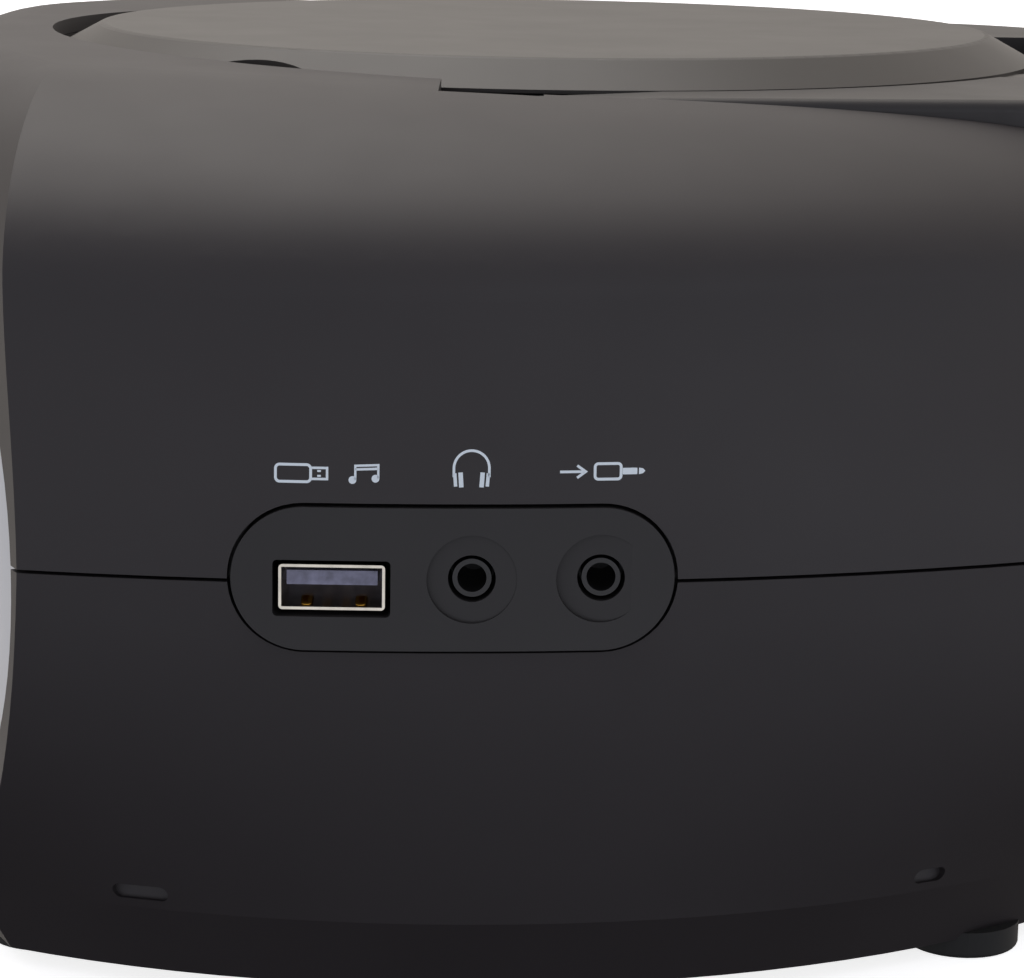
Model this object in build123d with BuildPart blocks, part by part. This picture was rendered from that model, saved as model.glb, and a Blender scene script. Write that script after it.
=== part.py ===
from build123d import *
import math
import os

# Compact portable CD radio. Millimetres, +X to the user's right, -Y to the user,
# +Z up, origin under the middle of the set on the surface it stands on.

# Outline of the housing seen from above, at the widest height
half_width = 140.8
side_radius = 240.0
side_apex_y = -22.4
front_y = -106.4
front_radius = 840.0
front_blend = 45.0
facet_angle = 27.0
facet_reach = 117.5
rear_y = 106.5
rear_corner = 42.0

# Heights of the housing
foot_height = 2.8
crease_z = 13.4
parting_z = 60.6
shoulder_z = 95.0
crown_rise = 21.5
deck_tilt = 1.66

# How the outline draws in towards the base and over the shoulder
low_side_tuck = 8.8
low_side_radius = 140.0
low_apex_y = -11.4
low_rear_tuck = 7.0
skirt_tuck = 6.0
high_side_tuck = 1.5
high_side_radius = 170.0
crown_side = 54.0
crown_front = 24.0
crown_rear = 10.0
low_heights = 4
high_heights = 4
crown_angles = (0, 21, 37, 50, 61, 71, 80.5, 90)
wall = 2.4
seam_gap = 0.45
core_gap = 0.1

# Fits between pieces
fit_gap = 0.3
run_gap = 0.05
swing_gap = 0.5

# Round lid and the seat it closes on
lid_y = 3.1
lid_radius = 78.0
lid_top_radius = 70.8
lid_base_z = 115.1
lid_top_z = 119.5
lid_wall = 1.8
lid_edge = 0.5
lid_gap = 0.6
lid_rim_round = 2.2
seat_z = 113.4
notch_angle = -33.0
notch_radius = 25.8
notch_depth = 4.2
scoop_floor_z = 107.0
lid_pin_y = 84.1
lid_pin_z = 110.4
lid_pin_radius = 1.5
lid_arm_x = 34.0
lid_arm_width = 7.4
lid_ear_width = 4.0
lid_rests = (195, 235, 300, 345)

# Folding handle
handle_front_x = 93.0
handle_rear_x = 85.0
handle_rear_y = 104.0
handle_corner = 40.0
handle_top_z = 115.7
handle_thick = 8.8
handle_bar = 13.0
handle_round = 1.6
handle_end = 6.6
handle_inner_gap = 2.4
handle_dip = 1.3
handle_dip_long = 30.0
handle_pivot_y = -4.4
pivot_radius = 2.5
pivot_in_shell = 2.4
pivot_in_arm = 8.0
rebate_under = 0.4
rebate_ahead = 0.4
grip_half = 44.0
grip_floor_z = 99.0
grip_under_bar = 4.0
ear_radius = 3.5
ear_deep = 7.0

# Disc well and the mechanism that hangs under it, set out from the spindle
well_radius = 69.6
well_flange = 73.0
well_inner = 67.0
well_low_inner = 64.0
well_flange_thick = 1.2
well_floor_z = 105.0
well_floor_thick = 2.0
disc_z = 109.5
hub_radius = 12.5
hub_cone_radius = 7.35
hub_cone_high = 2.1
hub_thick = 2.2
hub_neck = 5.0
hub_neck_z = 101.0
shaft_radius = 1.0
hub_hole = 14.5
window_near = 10.0
window_far = 62.0
window_half = 11.0
chassis_top_z = 96.0
chassis_thick = 2.4
chassis_x = (-74.0, 26.0)
chassis_y = (-27.0, 41.0)
damper_spots = ((-58.0, -21.0), (18.0, -21.0), (18.0, 34.0), (-58.0, 35.0))
damper_radius = 3.6
damper_pin = 1.5
damper_height = 5.0
rod_radius = 1.5
rod_half_y = 11.5
rod_z = 99.6
rod_post = 3.0
rod_post_x = (-70.2, -11.2)
sled_start = 24.0
sled_travel = 33.0
sled_long = 20.0
sled_half_y = 15.0
sled_low_z = 96.6
sled_high_z = 102.4
lens_radius = 3.4
lens_top_z = 107.6
lens_boss = 4.6
lens_seat_z = 104.5
tooth_module = 0.8
tooth_angle = 25.0
tooth_play = 0.3
pinion_teeth = 10
drive_teeth = 30
motor_teeth = 10
motor_radius = 8.0
motor_long = 14.0
motor_shaft = 0.75
spindle_motor_radius = 12.0
spindle_motor_high = 6.0
rack_pitch_y = 26.0
rack_thick = 2.4
rack_low_z = 97.0
rack_back = 2.2
gear_low_z = 100.0
gear_thick = 2.2
gear_x = -40.5
gear_axle_radius = 1.2

# Speakers, turned outwards on the facets
speaker_along = 51.9
speaker_z = 58.5
speaker_hole = 40.3
speaker_lip = 37.0
speaker_lip_deep = 1.6
speaker_ring = 42.0
speaker_ring_deep = 4.0
grille_radius = 40.0
grille_dome = 4.6
grille_sheet = 0.9
basket_radius = 40.0
cone_radius = 35.5
cone_depth = 13.0
cone_sheet = 0.7
magnet_radius = 22.5
magnet_depth = 34.0

# Control fascia and what it carries
fascia_half = 46.0
fascia_low_z = 22.0
fascia_high_z = 95.0
fascia_corner = 9.0
window_wide = 62.0
window_high = 31.0
window_z = 76.0
window_thick = 1.4
display_wide = 52.0
display_high = 15.0
display_z = 83.0
dial_wide = 60.0
dial_high = 10.0
dial_z = 66.0
dial_y = -99.6
rail_radius = 1.0
rail_z = 58.6
rail_y = -97.4
rail_half = 30.0
pointer_wide = 1.4
pointer_travel = 24.0
knob_radius = 11.0
knob_x = 27.0
knob_z = 33.5
knob_front_y = -113.4
knob_gap = 0.9
knob_shaft = 3.0
knob_flutes = 20
key_wide = 12.4
key_high = 8.6
key_pitch = 15.2
key_count = 5
key_z = 51.5
key_proud = 1.2
key_travel = 0.8
slider_z = 33.5
slider_slot = 24.0
slider_high = 4.4
slider_wide = 6.0
slider_travel = 5.5
board_y = -93.4
board_thick = 1.6
board_half = 42.0
board_low_z = 25.0
board_high_z = 92.0

# Jack panel on the right end
panel_y = -7.8
panel_z = 60.8
panel_wide = 54.6
panel_high = 18.0
panel_gap = 0.45
usb_y = -22.7
usb_z = 59.6
usb_wide = 13.1
usb_high = 5.7
usb_sheet = 0.35
usb_deep = 14.0
usb_set = 0.7
usb_frame = 0.7
jack_spots = (("headphone_jack", -5.5), ("aux_jack", 10.4))
jack_z = 60.9
jack_dish = 5.55
jack_dish_deep = 0.4
jack_hole = 2.95
jack_barrel = 2.4
jack_bore = 1.8
jack_deep = 14.0
jack_body = 10.0
jack_board_x = 124.0

# Rear: aerial, mains inlet and battery bay
aerial_x = 66.0
aerial_z = 88.5
aerial_gap = 0.4
aerial_radii = (3.2, 2.5, 1.9)
aerial_wall = 0.5
aerial_length = 118.0
aerial_step = 5.0
aerial_draw = 95.0
aerial_tip_radius = 2.9
hook_x = -40.0
hook_wide = 6.0
inlet_x = -52.0
inlet_z = 71.5
inlet_wide = 17.0
inlet_high = 9.4
inlet_deep = 14.0
inlet_pin_radius = 1.2
inlet_pin_half = 4.3
bay_half = 79.0
bay_low_z = 18.0
bay_high_z = 51.0
bay_front_y = 42.0
bay_wall = 1.8
door_half = 74.0
door_high_z = 48.6
door_gap = 0.4
door_pin_z = 22.2
door_pin_radius = 0.7
door_pin_long = 2.4

# Feet and screws
foot_radius = 8.0
foot_round = 0.8
foot_spots = ((100.0, -64.4), (97.0, 62.6))
foot_seat = 1.0
screw_spots = ((112.0, -40.0), (103.0, 50.0))
screw_access = 3.5
screw_seat_z = 15.0
screw_radius = 1.5
screw_head = 2.8
screw_length = 44.0
post_radius = 5.0
post_split_z = 50.0

# Pry slots in the ends, just over the crease
pry_z = 15.8
pry_high = 2.2
pry_deep = 1.3
pry_slots = ((-48.0, 7.6), (55.5, 4.8))


def circle_point(centre, through, radius):
    """Point at the radius from a centre, in the direction of another point."""
    dx = through[0] - centre[0]
    dy = through[1] - centre[1]
    reach = math.hypot(dx, dy)
    return (centre[0] + dx * radius / reach, centre[1] + dy * radius / reach)


def arc_between(centre, start, end, radius):
    """Arc about a centre from start to end, the short way round."""
    middle = ((start[0] + end[0]) / 2, (start[1] + end[1]) / 2)
    ThreePointArc(start, circle_point(centre, middle, radius), end)


def mix(first, second, share):
    return first + (second - first) * share


class Level:
    """One horizontal section of the housing."""

    def __init__(self, z, side_x, radius, apex_y, front_in, rear_in, tilt=0.0):
        self.z = z
        self.side_x = side_x
        self.radius = radius
        self.apex_y = apex_y
        self.front_in = front_in
        self.rear_in = rear_in
        self.tilt = tilt


def low_level(z):
    """Section between the crease above the skirt and the parting line."""
    share = max(0.0, (parting_z - z) / (parting_z - crease_z)) ** 1.6
    return Level(
        z,
        half_width - low_side_tuck * share,
        mix(side_radius, low_side_radius, share),
        mix(side_apex_y, low_apex_y, share),
        0.0,
        low_rear_tuck * share,
    )


def high_level(z):
    """Section between the parting line and the shoulder, easing in at both."""
    rise = (z - parting_z) / (shoulder_z - parting_z)
    share = rise * rise * (3 - 2 * rise)
    return Level(
        z,
        half_width - high_side_tuck * share,
        mix(side_radius, high_side_radius, share),
        side_apex_y,
        0.0,
        0.0,
    )


def crown_level(angle):
    """Section over the shoulder, where the wall rolls in to the top."""
    share = 1 - math.cos(math.radians(angle))
    lift = math.sin(math.radians(angle))
    return Level(
        shoulder_z + crown_rise * lift,
        half_width - high_side_tuck - crown_side * share,
        high_side_radius,
        side_apex_y,
        crown_front * share,
        crown_rear * share,
        deck_tilt * lift,
    )


def section(level, inset=0.0, drop=0.0):
    """Face with the housing's outline at a level, drawn in by the inset."""
    tilt = math.radians(level.tilt)
    place = Plane(
        origin=(0, 0, level.z - drop),
        x_dir=(1, 0, 0),
        z_dir=(0, math.sin(tilt), math.cos(tilt)),
    )
    # Side arc and rear corner
    radius = level.radius - inset
    side = (level.side_x - level.radius, level.apex_y)
    rear = rear_y - level.rear_in - inset
    corner = rear_corner - inset - level.rear_in
    corner_y = rear - corner
    corner_x = side[0] + math.sqrt((radius - corner) ** 2 - (corner_y - side[1]) ** 2)
    bend = (corner_x, corner_y)
    side_end = circle_point(side, bend, radius)
    # Front bow, and the flat facet that carries a speaker
    turn = math.radians(facet_angle)
    normal = (math.sin(turn), -math.cos(turn))
    along = (math.cos(turn), math.sin(turn))
    reach = facet_reach - level.front_in - inset
    bow_y = front_y + level.front_in + inset
    bow = (0.0, bow_y + front_radius)
    # Corner between side arc and facet
    span = reach - (side[0] * normal[0] + side[1] * normal[1])
    out = math.sqrt(radius**2 - span**2)
    facet_start = (
        side[0] + normal[0] * span + along[0] * out,
        side[1] + normal[1] * span + along[1] * out,
    )
    # Blend arc between facet and bow
    foot = (normal[0] * (reach - front_blend), normal[1] * (reach - front_blend))
    from_bow = (foot[0] - bow[0], foot[1] - bow[1])
    half = from_bow[0] * along[0] + from_bow[1] * along[1]
    rest = from_bow[0] ** 2 + from_bow[1] ** 2 - (front_radius - front_blend) ** 2
    step = -half - math.sqrt(half**2 - rest)
    knuckle = (foot[0] + along[0] * step, foot[1] + along[1] * step)
    facet_end = (knuckle[0] + normal[0] * front_blend, knuckle[1] + normal[1] * front_blend)
    bow_end = circle_point(bow, knuckle, front_radius)
    with BuildSketch(place) as outline:
        with BuildLine():
            Line((0, rear), (corner_x, rear))
            arc_between(bend, (corner_x, rear), side_end, corner)
            arc_between(side, side_end, facet_start, radius)
            Line(facet_start, facet_end)
            arc_between(knuckle, facet_end, bow_end, front_blend)
            arc_between(bow, bow_end, (0, bow_y), front_radius)
            mirror(about=Plane.YZ)
        make_face()
    return outline.sketch.face()


def upper_levels():
    """Sections of the wall, and those of the crown that goes on from it."""
    rise = (shoulder_z - parting_z) / high_heights
    walls = [high_level(parting_z + rise * step) for step in range(high_heights + 1)]
    return walls, [crown_level(angle) for angle in crown_angles]


def lower_levels():
    rise = (parting_z - seam_gap - crease_z) / (low_heights - 1)
    return [low_level(crease_z + rise * step) for step in range(low_heights)]


# The outer and inner forms that every shell piece is cut from
with BuildPart() as upper_form:
    for levels in upper_levels():
        loft([section(level) for level in levels])

with BuildPart() as upper_hollow:
    for levels in upper_levels():
        loft([section(level, wall, wall) for level in levels])

with BuildPart() as upper_core:
    for levels in upper_levels():
        loft([section(level, wall + core_gap, wall + core_gap) for level in levels])

with BuildPart() as lower_form:
    loft([section(level) for level in lower_levels()])
    loft([section(low_level(crease_z)), section(low_level(crease_z), skirt_tuck, crease_z - foot_height)])

with BuildPart() as lower_hollow:
    loft([section(level, wall) for level in lower_levels()])
    loft(
        [
            section(low_level(crease_z), wall),
            section(low_level(crease_z), skirt_tuck + wall, crease_z - foot_height - wall),
        ]
    )


up = (Align.CENTER, Align.CENTER, Align.MIN)
down = (Align.CENTER, Align.CENTER, Align.MAX)

handle_base_z = handle_top_z - handle_thick
handle_pivot_z = handle_base_z + handle_thick / 2 - 0.7
rebate_z = handle_base_z - rebate_under
bar_front_y = handle_rear_y - handle_bar
end_pocket = handle_end + rebate_ahead
seat_radius = lid_radius + lid_gap
seat_rear_y = lid_y + math.sqrt(seat_radius**2 - grip_half**2)
notch_turn = math.radians(notch_angle)
notch_reach = lid_radius - notch_depth + notch_radius
notch_spot = (notch_reach * math.cos(notch_turn), lid_y + notch_reach * math.sin(notch_turn))
spindle = (0.0, lid_y)
spindle_axis = Axis((0, lid_y, 0), (0, 0, 1))
fascia_mid_z = (fascia_low_z + fascia_high_z) / 2
fascia_front_y = front_y - 0.6
fascia_back_y = front_y + 3.0
clamp_lip_z = 114.0
gear_y = lid_y + rack_pitch_y + tooth_module * pinion_teeth / 2
motor_x = gear_x + tooth_module * (drive_teeth + motor_teeth) / 2
rack_foot_y = rack_pitch_y - 1.15 * tooth_module - rack_back
rack_half = sled_travel / 2 + 3
board_bosses = ((-26, -50), (80, -50), (-26, 20), (80, 20))
main_board_z = 14.0
flange_back_y = front_y + 5.4
window_back_y = front_y + 1.4
display_front_y = front_y + 3.4
pointer_y = dial_y - 1.2
pot_size = 17.0
pot_front_y = board_y - 8.0
knob_back_y = fascia_front_y - knob_gap + 0.4
post_x = 39.5
post_heights = (28.0, 89.0)
key_names = ("previous", "play", "next", "stop", "mode")
key_spots = [key_pitch * (step - (key_count - 1) / 2) for step in range(key_count)]
key_back_y = fascia_back_y + fit_gap
switch_front_y = board_y - 4.6
slide_front_y = fascia_back_y + fit_gap
slide_plate = slider_slot / 2 + slider_travel + 0.5
slider_face_y = fascia_front_y - 1.4
grille_set = 0.7
grille_rows = 6
grille_pitch = 5.4
grille_slot = 2.6
panel_back_x = 131.4
panel_posts = (-13.6, 2.4, 17.4)
door_pin_share = ((parting_z - door_pin_z) / (parting_z - crease_z)) ** 1.6
door_pin_y = rear_y - low_rear_tuck * door_pin_share - wall / 2


def facet_plane(sign, lift=0.0):
    """Plane on a speaker facet, at the speaker's centre, facing outwards."""
    turn = math.radians(facet_angle)
    normal = Vector(sign * math.sin(turn), -math.cos(turn), 0)
    along = Vector(sign * math.cos(turn), math.sin(turn), 0)
    centre = normal * (facet_reach + lift) + along * speaker_along
    return Plane(origin=(centre.X, centre.Y, speaker_z), x_dir=(0, 0, 1), z_dir=normal)


def facet_section(sign):
    """Plane through a speaker's axis, local x the radius and local y outwards."""
    face = facet_plane(sign)
    return Plane(origin=face.origin, x_dir=face.x_dir, z_dir=face.x_dir.cross(face.z_dir))


def side_plane(sign, x, y, z):
    """Plane facing out of an end of the set, local y up."""
    return Plane(origin=(sign * x, y, z), x_dir=(0, sign, 0), z_dir=(sign, 0, 0))


def front_plane(y, x=0.0, z=0.0):
    """Plane facing the user, local x along +X and local y up."""
    return Plane(origin=(x, y, z), x_dir=(1, 0, 0), z_dir=(0, -1, 0))


def rear_plane(y, x=0.0, z=0.0):
    """Plane facing the rear, local x along -X and local y up."""
    return Plane(origin=(x, y, z), x_dir=(-1, 0, 0), z_dir=(0, 1, 0))


def handle_plan(spread, ring, slotted):
    """Plan of the folded handle, grown by the spread, less a ring's inside."""
    front = handle_pivot_y - handle_end - spread
    front_x = handle_front_x + spread
    rear_x = handle_rear_x + spread
    rear = handle_rear_y + spread
    corner = handle_corner + spread
    slot_rear = bar_front_y - spread
    with BuildSketch(Plane.XY) as plan:
        with BuildLine():
            Line((0, rear), (rear_x - corner, rear))
            arc_between(
                (rear_x - corner, rear - corner),
                (rear_x - corner, rear),
                (rear_x, rear - corner),
                corner,
            )
            Line((rear_x, rear - corner), (front_x, front))
            Line((front_x, front), (0, front))
            mirror(about=Plane.YZ)
        make_face()
        if ring:
            with Locations((0, lid_y)):
                Circle(ring, mode=Mode.SUBTRACT)
        if slotted:
            with Locations((0, (lid_y + slot_rear) / 2)):
                Rectangle(2 * (grip_half - spread), slot_rear - lid_y, mode=Mode.SUBTRACT)
    return plan.sketch.face()


def end_plane(sign, level, y, lift):
    """Plane on the outside of an end at a level and depth, lifted outwards."""
    turn = math.asin((y - level.apex_y) / level.radius)
    normal = Vector(sign * math.cos(turn), math.sin(turn), 0)
    middle = Vector(sign * (level.side_x - level.radius), level.apex_y, level.z)
    return Plane(
        origin=middle + normal * (level.radius + lift),
        x_dir=Vector(0, 0, 1).cross(normal),
        z_dir=normal,
    )


def end_x_at(y):
    """How far out the end of the set is at a depth, at its widest height."""
    return half_width - side_radius + math.sqrt(side_radius**2 - (y - side_apex_y) ** 2)


def gear_points(teeth, phase, centre):
    """Outline of a small moulded gear with a tooth at the phase angle."""
    pitch_radius = tooth_module * teeth / 2
    slope = math.tan(math.radians(tooth_angle))
    points = []
    for tooth in range(teeth):
        middle = math.radians(phase) + 2 * math.pi * tooth / teeth
        flanks = []
        for rise in (-1.15 * tooth_module, 0.0, 0.8 * tooth_module):
            radius = pitch_radius + rise
            half = math.pi * tooth_module / 4 - tooth_play / 2 - rise * slope
            flanks.append((radius, half / radius))
        for radius, half in flanks:
            points.append((radius, middle - half))
        for radius, half in reversed(flanks):
            points.append((radius, middle + half))
    return [
        (centre[0] + radius * math.cos(turn), centre[1] + radius * math.sin(turn))
        for radius, turn in points
    ]


def rack_outline():
    """Outline of the rack on the sled, with a gap facing the pinion."""
    pitch = math.pi * tooth_module
    slope = math.tan(math.radians(tooth_angle))
    root_y = lid_y + rack_pitch_y - 1.15 * tooth_module
    tip_y = lid_y + rack_pitch_y + 0.8 * tooth_module
    half_root = pitch / 4 - tooth_play / 2 + 1.15 * tooth_module * slope
    half_tip = pitch / 4 - tooth_play / 2 - 0.8 * tooth_module * slope
    middle = gear_x + sled_travel / 2
    count = math.floor((rack_half - 1.2) / pitch)
    points = [(middle - rack_half, root_y - rack_back), (middle - rack_half, root_y)]
    first = gear_x - pitch / 2
    for step in range(-count, 3 * count):
        tooth_x = first + step * pitch
        if abs(tooth_x - middle) < rack_half - 1.2:
            points.append((tooth_x - half_root, root_y))
            points.append((tooth_x - half_tip, tip_y))
            points.append((tooth_x + half_tip, tip_y))
            points.append((tooth_x + half_root, root_y))
    points.append((middle + rack_half, root_y))
    points.append((middle + rack_half, root_y - rack_back))
    return points


rack_points = rack_outline()
handle_outer = handle_plan(0.0, 0.0, False)
handle_inner = handle_plan(0.0, lid_radius + handle_inner_gap, True)
rebate_plan = handle_plan(swing_gap, seat_radius - 0.2, False)
pad_plan = handle_plan(swing_gap + wall, seat_radius - wall, False)

# Moulded handle, a flat horseshoe round the back of the lid
with BuildPart() as handle:
    with BuildSketch(Plane.XY.offset(handle_base_z)):
        add(handle_outer)
    extrude(amount=handle_thick)
    fillet(handle.faces().sort_by(Axis.Z)[-1].edges(), handle_round)
    with BuildSketch(Plane.XY.offset(handle_base_z)):
        add(handle_inner)
    extrude(amount=handle_thick, mode=Mode.INTERSECT)
    # The free ends are rounded about the pivots
    with BuildSketch(Plane.YZ.offset(-2 * handle_front_x)):
        with Locations((handle_pivot_y - 10, handle_pivot_z)):
            Rectangle(20, 4 * handle_thick)
        with Locations((handle_pivot_y, handle_pivot_z)):
            Circle(handle_end, mode=Mode.SUBTRACT)
    extrude(amount=4 * handle_front_x, mode=Mode.SUBTRACT)
    # The arms dip towards their free ends, where the shoulder is lower
    with BuildSketch(Plane.YZ.offset(-2 * handle_front_x)):
        with BuildLine():
            Polyline(
                (handle_pivot_y - handle_end + handle_dip_long, handle_top_z),
                (handle_pivot_y - handle_end, handle_top_z - handle_dip),
                (handle_pivot_y - handle_end, handle_top_z + 1),
                (handle_pivot_y - handle_end + handle_dip_long, handle_top_z + 1),
                close=True,
            )
        make_face()
    extrude(amount=4 * handle_front_x, mode=Mode.SUBTRACT)
    for side in (1, -1):
        with BuildSketch(side_plane(side, handle_front_x + 5, handle_pivot_y, handle_pivot_z)):
            Circle(pivot_radius + run_gap)
        extrude(amount=-(5 + pivot_in_arm + fit_gap), mode=Mode.SUBTRACT)

with BuildPart() as handle_pivots:
    for side in (1, -1):
        end_x = handle_front_x + swing_gap + pivot_in_shell
        with BuildSketch(side_plane(side, end_x, handle_pivot_y, handle_pivot_z)):
            Circle(pivot_radius)
        extrude(amount=-(pivot_in_shell + swing_gap + pivot_in_arm))

# Room inside the upper shell, left solid where the shell is thick
with BuildPart() as upper_room:
    add(upper_hollow.part)
    for side in (1, -1):
        with BuildSketch(facet_plane(side, 2)):
            Circle(speaker_ring)
        extrude(amount=-(2 + speaker_ring_deep), mode=Mode.SUBTRACT)
        for x, y in screw_spots:
            with Locations((side * x, y, parting_z - 10)):
                Cylinder(post_radius, 70, align=up, mode=Mode.SUBTRACT)
    with Locations((aerial_x, rear_y, aerial_z)):
        Cylinder(6, 18, rotation=(90, 0, 0), mode=Mode.SUBTRACT)

# Everything that is open above the deck: the lid's seat, the well's opening, the
# rebate the folded handle lies in, the grip pocket, the finger scoop, the catch slot
grip_rear_y = bar_front_y + grip_under_bar
pocket_x = handle_front_x + swing_gap
tray_half = grip_half + wall
tray_mid_y = (seat_rear_y - 4 + grip_rear_y) / 2
tray_long = grip_rear_y - seat_rear_y + 4 + 2 * wall
with BuildPart() as deck_openings:
    with Locations((0, lid_y, seat_z)):
        Cylinder(seat_radius, 20, align=up)
    with Locations((0, lid_y, 88)):
        Cylinder(well_radius + fit_gap, 40, align=up)
    with BuildSketch(Plane.XY.offset(rebate_z)):
        add(rebate_plan)
    extrude(amount=20)
    for side in (1, -1):
        with BuildSketch(side_plane(side, pocket_x, handle_pivot_y, handle_pivot_z)):
            Circle(end_pocket)
            with Locations((0, 10)):
                Rectangle(2 * end_pocket, 20)
        extrude(amount=-16.1)
        with BuildSketch(side_plane(side, pocket_x + pivot_in_shell, handle_pivot_y, handle_pivot_z)):
            Circle(pivot_radius)
        extrude(amount=-6)
    with BuildSketch(Plane.XY.offset(grip_floor_z)):
        with Locations((0, (lid_y + grip_rear_y) / 2)):
            Rectangle(2 * grip_half, grip_rear_y - lid_y)
        with Locations(spindle):
            Circle(seat_radius, mode=Mode.SUBTRACT)
    extrude(amount=rebate_z - grip_floor_z + 1)
    with BuildSketch(Plane.XY.offset(scoop_floor_z)):
        with Locations(notch_spot):
            Circle(notch_radius - 1.5)
        with Locations(spindle):
            Circle(seat_radius, mode=Mode.INTERSECT)
    extrude(amount=12)
    with Locations((0, lid_y - 75.8, seat_z - 8)):
        Box(12, 4.2, 12, align=up)

# Room for the deck, under the skin and up to the floor of the lid's seat
with BuildPart() as deck_room:
    add(upper_core.part)
    with Locations((0, lid_y, seat_z - wall - 1)):
        Cylinder(seat_radius - core_gap, wall + 1, align=up)

# Deck under the skin of the upper shell, a pan round the lid and the handle
with BuildPart() as top_deck:
    with Locations((0, lid_y, seat_z - wall)):
        Cylinder(seat_radius + wall, 12, align=up)
    with BuildSketch(Plane.XY.offset(rebate_z - wall)):
        add(pad_plan)
    extrude(amount=20)
    for side in (1, -1):
        with Locations((side * 86.5, handle_pivot_y, handle_pivot_z - end_pocket - wall)):
            Box(25, 2 * (end_pocket + wall), 24, align=up)
    with BuildSketch(Plane.XY.offset(scoop_floor_z - wall)):
        with Locations(notch_spot):
            Circle(notch_radius + 1)
        with Locations(spindle):
            Circle(seat_radius + wall, mode=Mode.INTERSECT)
    extrude(amount=20)
    add(deck_room.part, mode=Mode.INTERSECT)
    add(deck_openings.part, mode=Mode.SUBTRACT)
    with Locations((0, tray_mid_y, grip_floor_z - wall - 1)):
        Box(
            2 * (tray_half + core_gap),
            tray_long + 2 * core_gap,
            40,
            align=up,
            mode=Mode.SUBTRACT,
        )

# Tray let into the deck, the pocket for the fingers under the handle's cross bar
with BuildPart() as grip_tray:
    with Locations((0, tray_mid_y, grip_floor_z - wall)):
        Box(2 * tray_half, tray_long, 24, align=up)
    add(deck_room.part, mode=Mode.INTERSECT)
    add(deck_openings.part, mode=Mode.SUBTRACT)
    # Ears that hold the lid's hinge pins
    for side in (1, -1):
        for step in (-1, 1):
            ear_x = side * lid_arm_x + step * (lid_arm_width / 2 + fit_gap + lid_ear_width / 2)
            with Locations((ear_x, lid_pin_y, grip_floor_z - 1)):
                Box(lid_ear_width, ear_deep, lid_pin_z - grip_floor_z + 1, align=up)
            with BuildSketch(Plane.YZ.offset(ear_x - lid_ear_width / 2)):
                with Locations((lid_pin_y, lid_pin_z)):
                    Circle(ear_radius)
            extrude(amount=lid_ear_width)
        with BuildSketch(Plane.YZ.offset(side * lid_arm_x - 9)):
            with Locations((lid_pin_y, lid_pin_z)):
                Circle(lid_pin_radius)
        extrude(amount=18, mode=Mode.SUBTRACT)

# Upper shell
with BuildPart() as housing_top:
    add(upper_form.part)
    add(upper_room.part, mode=Mode.SUBTRACT)
    add(deck_openings.part, mode=Mode.SUBTRACT)
    with Locations((0, lid_y, seat_z - wall - 2)):
        Cylinder(seat_radius, 20, align=up, mode=Mode.SUBTRACT)
    for side in (1, -1):
        for x, y in screw_spots:
            with Locations((side * x, y, post_split_z + seam_gap)):
                Cylinder(post_radius, parting_z - post_split_z + 3, align=up)
    # Cradle for the folded aerial, its swivel bore and the mains inlet
    with Locations((hook_x, rear_y + 2.4, aerial_z - aerial_radii[0] - fit_gap)):
        Box(hook_wide, 7.2, 3.4, align=down)
    with BuildSketch(rear_plane(rear_y + 5, aerial_x, aerial_z)):
        Circle(3.0 + run_gap)
    extrude(amount=-20, mode=Mode.SUBTRACT)
    with BuildSketch(rear_plane(rear_y + 5, inlet_x, inlet_z)):
        SlotOverall(inlet_wide + 3.6, inlet_high + 3.6)
    extrude(amount=-12, mode=Mode.SUBTRACT)
    # Openings for the speakers, the fascia and the jack panel
    for side in (1, -1):
        with BuildSketch(facet_plane(side, 6)):
            Circle(speaker_hole)
        extrude(amount=-(6 + speaker_lip_deep), mode=Mode.SUBTRACT)
        with BuildSketch(facet_plane(side)):
            Circle(speaker_lip)
        extrude(amount=-16, mode=Mode.SUBTRACT)
    with BuildSketch(front_plane(-80, 0, fascia_mid_z)):
        RectangleRounded(
            2 * (fascia_half + fit_gap),
            fascia_high_z - fascia_low_z + 2 * fit_gap,
            fascia_corner,
        )
    extrude(amount=40, mode=Mode.SUBTRACT)
    with BuildSketch(side_plane(1, 110, panel_y, panel_z)):
        SlotOverall(panel_wide + 2 * panel_gap, panel_high + 2 * panel_gap)
    extrude(amount=50, mode=Mode.SUBTRACT)
    # Bores the case screws bite into
    for side in (1, -1):
        for x, y in screw_spots:
            with Locations((side * x, y, post_split_z)):
                Cylinder(screw_radius, 12, align=up, mode=Mode.SUBTRACT)

# Room inside the lower shell, left solid where the shell is thick
with BuildPart() as lower_room:
    add(lower_hollow.part)
    for side in (1, -1):
        with BuildSketch(facet_plane(side, 2)):
            Circle(speaker_ring)
        extrude(amount=-(2 + speaker_ring_deep), mode=Mode.SUBTRACT)
        for x, y in screw_spots:
            with Locations((side * x, y, 0)):
                Cylinder(post_radius, post_split_z, align=up, mode=Mode.SUBTRACT)
        # Ribs under the battery box and bosses under the main board
        for x in (22, 62):
            with Locations((side * x, 66, 0)):
                Box(2, 40, bay_low_z, align=up, mode=Mode.SUBTRACT)
    for x, y in board_bosses:
        with Locations((x, y, 0)):
            Cylinder(3, main_board_z, align=up, mode=Mode.SUBTRACT)

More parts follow.
